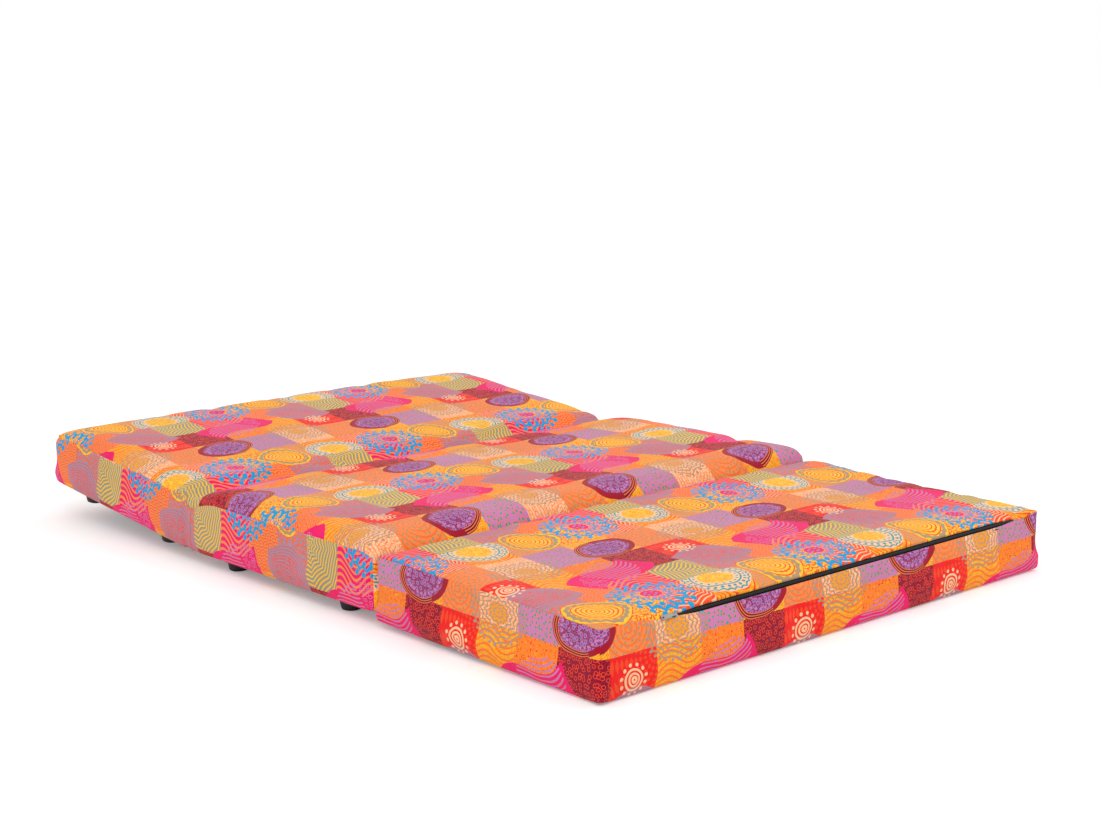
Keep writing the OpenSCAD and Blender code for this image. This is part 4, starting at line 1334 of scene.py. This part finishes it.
def moulded_black(name, roughness, grain, shine):
    made, tree, shader = new_material(name, Specular_IOR_Level=shine)
    place = object_place(tree)
    fine, broad = noise_at(place, grain, 3.0), noise_at(place, 30.0, 3.0)
    colour = blend_colours(broad, as_linear(12, 12, 14), as_linear(24, 24, 26))
    feed(tree, shader, Base_Color=colour, Roughness=broad * 0.2 + roughness,
         Normal=bump(fine, 0.25, 0.2 * MM))
    return made


def plated(name, low, high):
    made, tree, shader = new_material(name, Metallic=1.0)
    place = object_place(tree)
    blotch, scratch = noise_at(place, 90.0, 4.0, 0.7), noise_at(place, 700.0, 2.0)
    feed(tree, shader, Base_Color=blend_colours(blotch, low, high), Roughness=blotch * 0.25 + 0.22,
         Normal=bump(scratch, 0.15, 0.1 * MM))
    return made


FINISHES = {
    "foot_plastic": moulded_black("foot_plastic_moulded", 0.38, 900.0, 0.5),
    "zip_teeth": moulded_black("zip_teeth_moulded", 0.28, 500.0, 0.25),
    "steel": plated("zinc_plated_steel", as_linear(168, 170, 172), as_linear(206, 208, 210)),
    "zip_metal": plated("nickel_plated", as_linear(128, 126, 124), as_linear(172, 170, 166)),
}
print(len(FINISHES), "finishes of plastic and metal")

# %% [markdown]
# Pine shows its year rings as long streaks, so the noise is stretched along the wood before its level
# lines are taken. Hardboard and the black dust cloth are both pressed fibres: one fine, rough noise
# over a broad one.

# %% Timber, board and felt
def pine():
    made, tree, shader = new_material("pine", Specular_IOR_Level=0.35)
    place = object_place(tree)
    rings_at = place.node("ShaderNodeMapping", None, {"Vector": place, "Scale": (60.0, 3.0, 60.0)})
    year = noise_at(rings_at, 1.0, 3.0, 0.6)
    lines = level_lines(year, 9.0, 0.45)
    fibre = noise_at(rings_at, 18.0, 2.0)
    colour = blend_colours(lines * 0.55, as_linear(226, 190, 140), as_linear(186, 140, 88))
    feed(tree, shader, Base_Color=colour, Roughness=fibre * 0.3 + 0.5,
         Normal=bump(fibre + lines, 0.3, 0.25 * MM))
    return made


def fibres(name, low, high, scale, roughness):
    made, tree, shader = new_material(name, Specular_IOR_Level=0.2)
    place = object_place(tree)
    felt, blotch = noise_at(place, scale, 5.0, 0.75), noise_at(place, 24.0, 3.0)
    feed(tree, shader, Base_Color=blend_colours((felt + blotch) * 0.5, low, high),
         Roughness=felt * 0.2 + roughness, Normal=bump(felt, 0.5, 0.3 * MM))
    return made


FINISHES["timber"] = pine()
FINISHES["hardboard"] = fibres("hardboard_fibres", as_linear(108, 76, 48), as_linear(142, 104, 70),
                               220.0, 0.6)
FINISHES["dust_cloth"] = fibres("dust_cloth_felt", as_linear(20, 20, 22), as_linear(42, 42, 46),
                                600.0, 0.75)
print(len(FINISHES), "finishes with timber, board and felt")

# %% [markdown]
# Zip tape is a narrow twill. A sine of the way along plus the way up gives its slanting ribs, as bump.

# %% Zip tape
TWILL = 1.2 * MM


def zip_tape_cloth():
    made, tree, shader = new_material("zip_tape_cloth", Sheen_Weight=0.05, Specular_IOR_Level=0.15)
    place = object_place(tree)
    run, _, rise = parts(place)
    twill = ((run + rise) * (2 * math.pi / TWILL)).sin()
    speck = noise_at(place, 300.0, 2.0)
    feed(tree, shader, Base_Color=blend_colours(speck, as_linear(7, 7, 8), as_linear(16, 16, 19)),
         Roughness=speck * 0.2 + 0.6, Normal=bump(twill, 0.5, 0.2 * MM))
    return made


FINISHES["zip_tape"] = zip_tape_cloth()
print("twill", round(TWILL / MM, 1), "mm from rib to rib")

# %% [markdown]
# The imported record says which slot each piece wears. A finish goes to every piece of its slot. The
# cloth, wadding and foam that the covers and webs replace have no finish here, since they aren't seen.

# %% Give each piece its finish
slot_of = {part["node"]: part["material_slot"] for part in frame["record"]["subparts"]}
dressed = 0
for name, piece in frame["nodes"].items():
    finish = FINISHES.get(slot_of[name])
    if finish is not None:
        piece.data.materials.clear()
        piece.data.materials.append(finish)
        dressed += 1
print(dressed, "packed pieces dressed")

# %% [markdown]
# ## Floor and light
# A pale floor, as in a studio, keeps the bed's shadow. To the camera it also gives a little light of
# its own, so that far away it is as white as the world behind it. Light Path tells the camera's rays
# from the others, and the bed is lit no more for it.

# %% Floor
FLOOR_REACH = 40.0


def floor_paint():
    made, tree, shader = new_material("floor_paint", Roughness=0.9, Specular_IOR_Level=0.1,
                                      Emission_Strength=1.0)
    grain = noise_at(object_place(tree), 3.0, 3.0)
    seen = add_node(tree, "ShaderNodeLightPath")
    feed(tree, shader,
         Base_Color=blend_colours(grain * 0.2, as_linear(248, 248, 248), as_linear(243, 243, 243)),
         Emission_Color=blend_colours(seen, (0, 0, 0, 1), (0.22, 0.22, 0.22, 1)))
    return made


floor_mesh = bpy.data.meshes.new("floor")
floor_mesh.from_pydata([(x * FLOOR_REACH, y * FLOOR_REACH, 0)
                        for x, y in ((-1, -1), (1, -1), (1, 1), (-1, 1))], [], [(0, 1, 2, 3)])
floor = add_object("floor", floor_mesh)
floor.location.z = -0.5 * MM
floor.data.materials.append(floor_paint())
print("floor", 2 * FLOOR_REACH, "m wide")

# %% [markdown]
# Two broad round lamps stand in front, the key to the left and higher, the fill to the right and
# weaker. The world is white to the camera, to shiny metal and through glass, and a plain level of light
# to everything else, at which a colour comes out about as it is written.

# %% Light
def area_light(name, at, size, power):
    """A round lamp that looks at the middle of the bed."""
    lamp = bpy.data.lights.new(name, "AREA")
    lamp.shape, lamp.size, lamp.energy = "DISK", size, power
    made = add_object(name, lamp)
    made.location = at
    made.rotation_euler = (-Vector(at)).to_track_quat("-Z", "Y").to_euler()


area_light("key", (-2.6, -2.4, 3.6), 2.6, 36)
area_light("fill", (3.2, -1.5, 3.0), 3.0, 14)
world = bpy.data.worlds.new("studio")
bpy.context.scene.world = world
world.use_nodes = True
sky = world.node_tree.nodes["Background"]
path = add_node(world.node_tree, "ShaderNodeLightPath")
seen = path | Wire(path.socket.node.outputs["Is Glossy Ray"]) \
    | Wire(path.socket.node.outputs["Is Transmission Ray"])
world.node_tree.links.new((seen * 0.1 + 0.9).socket, sky.inputs["Strength"])
sky.inputs["Color"].default_value = (1, 1, 1, 1)
bpy.context.scene.view_settings.view_transform = "Standard"
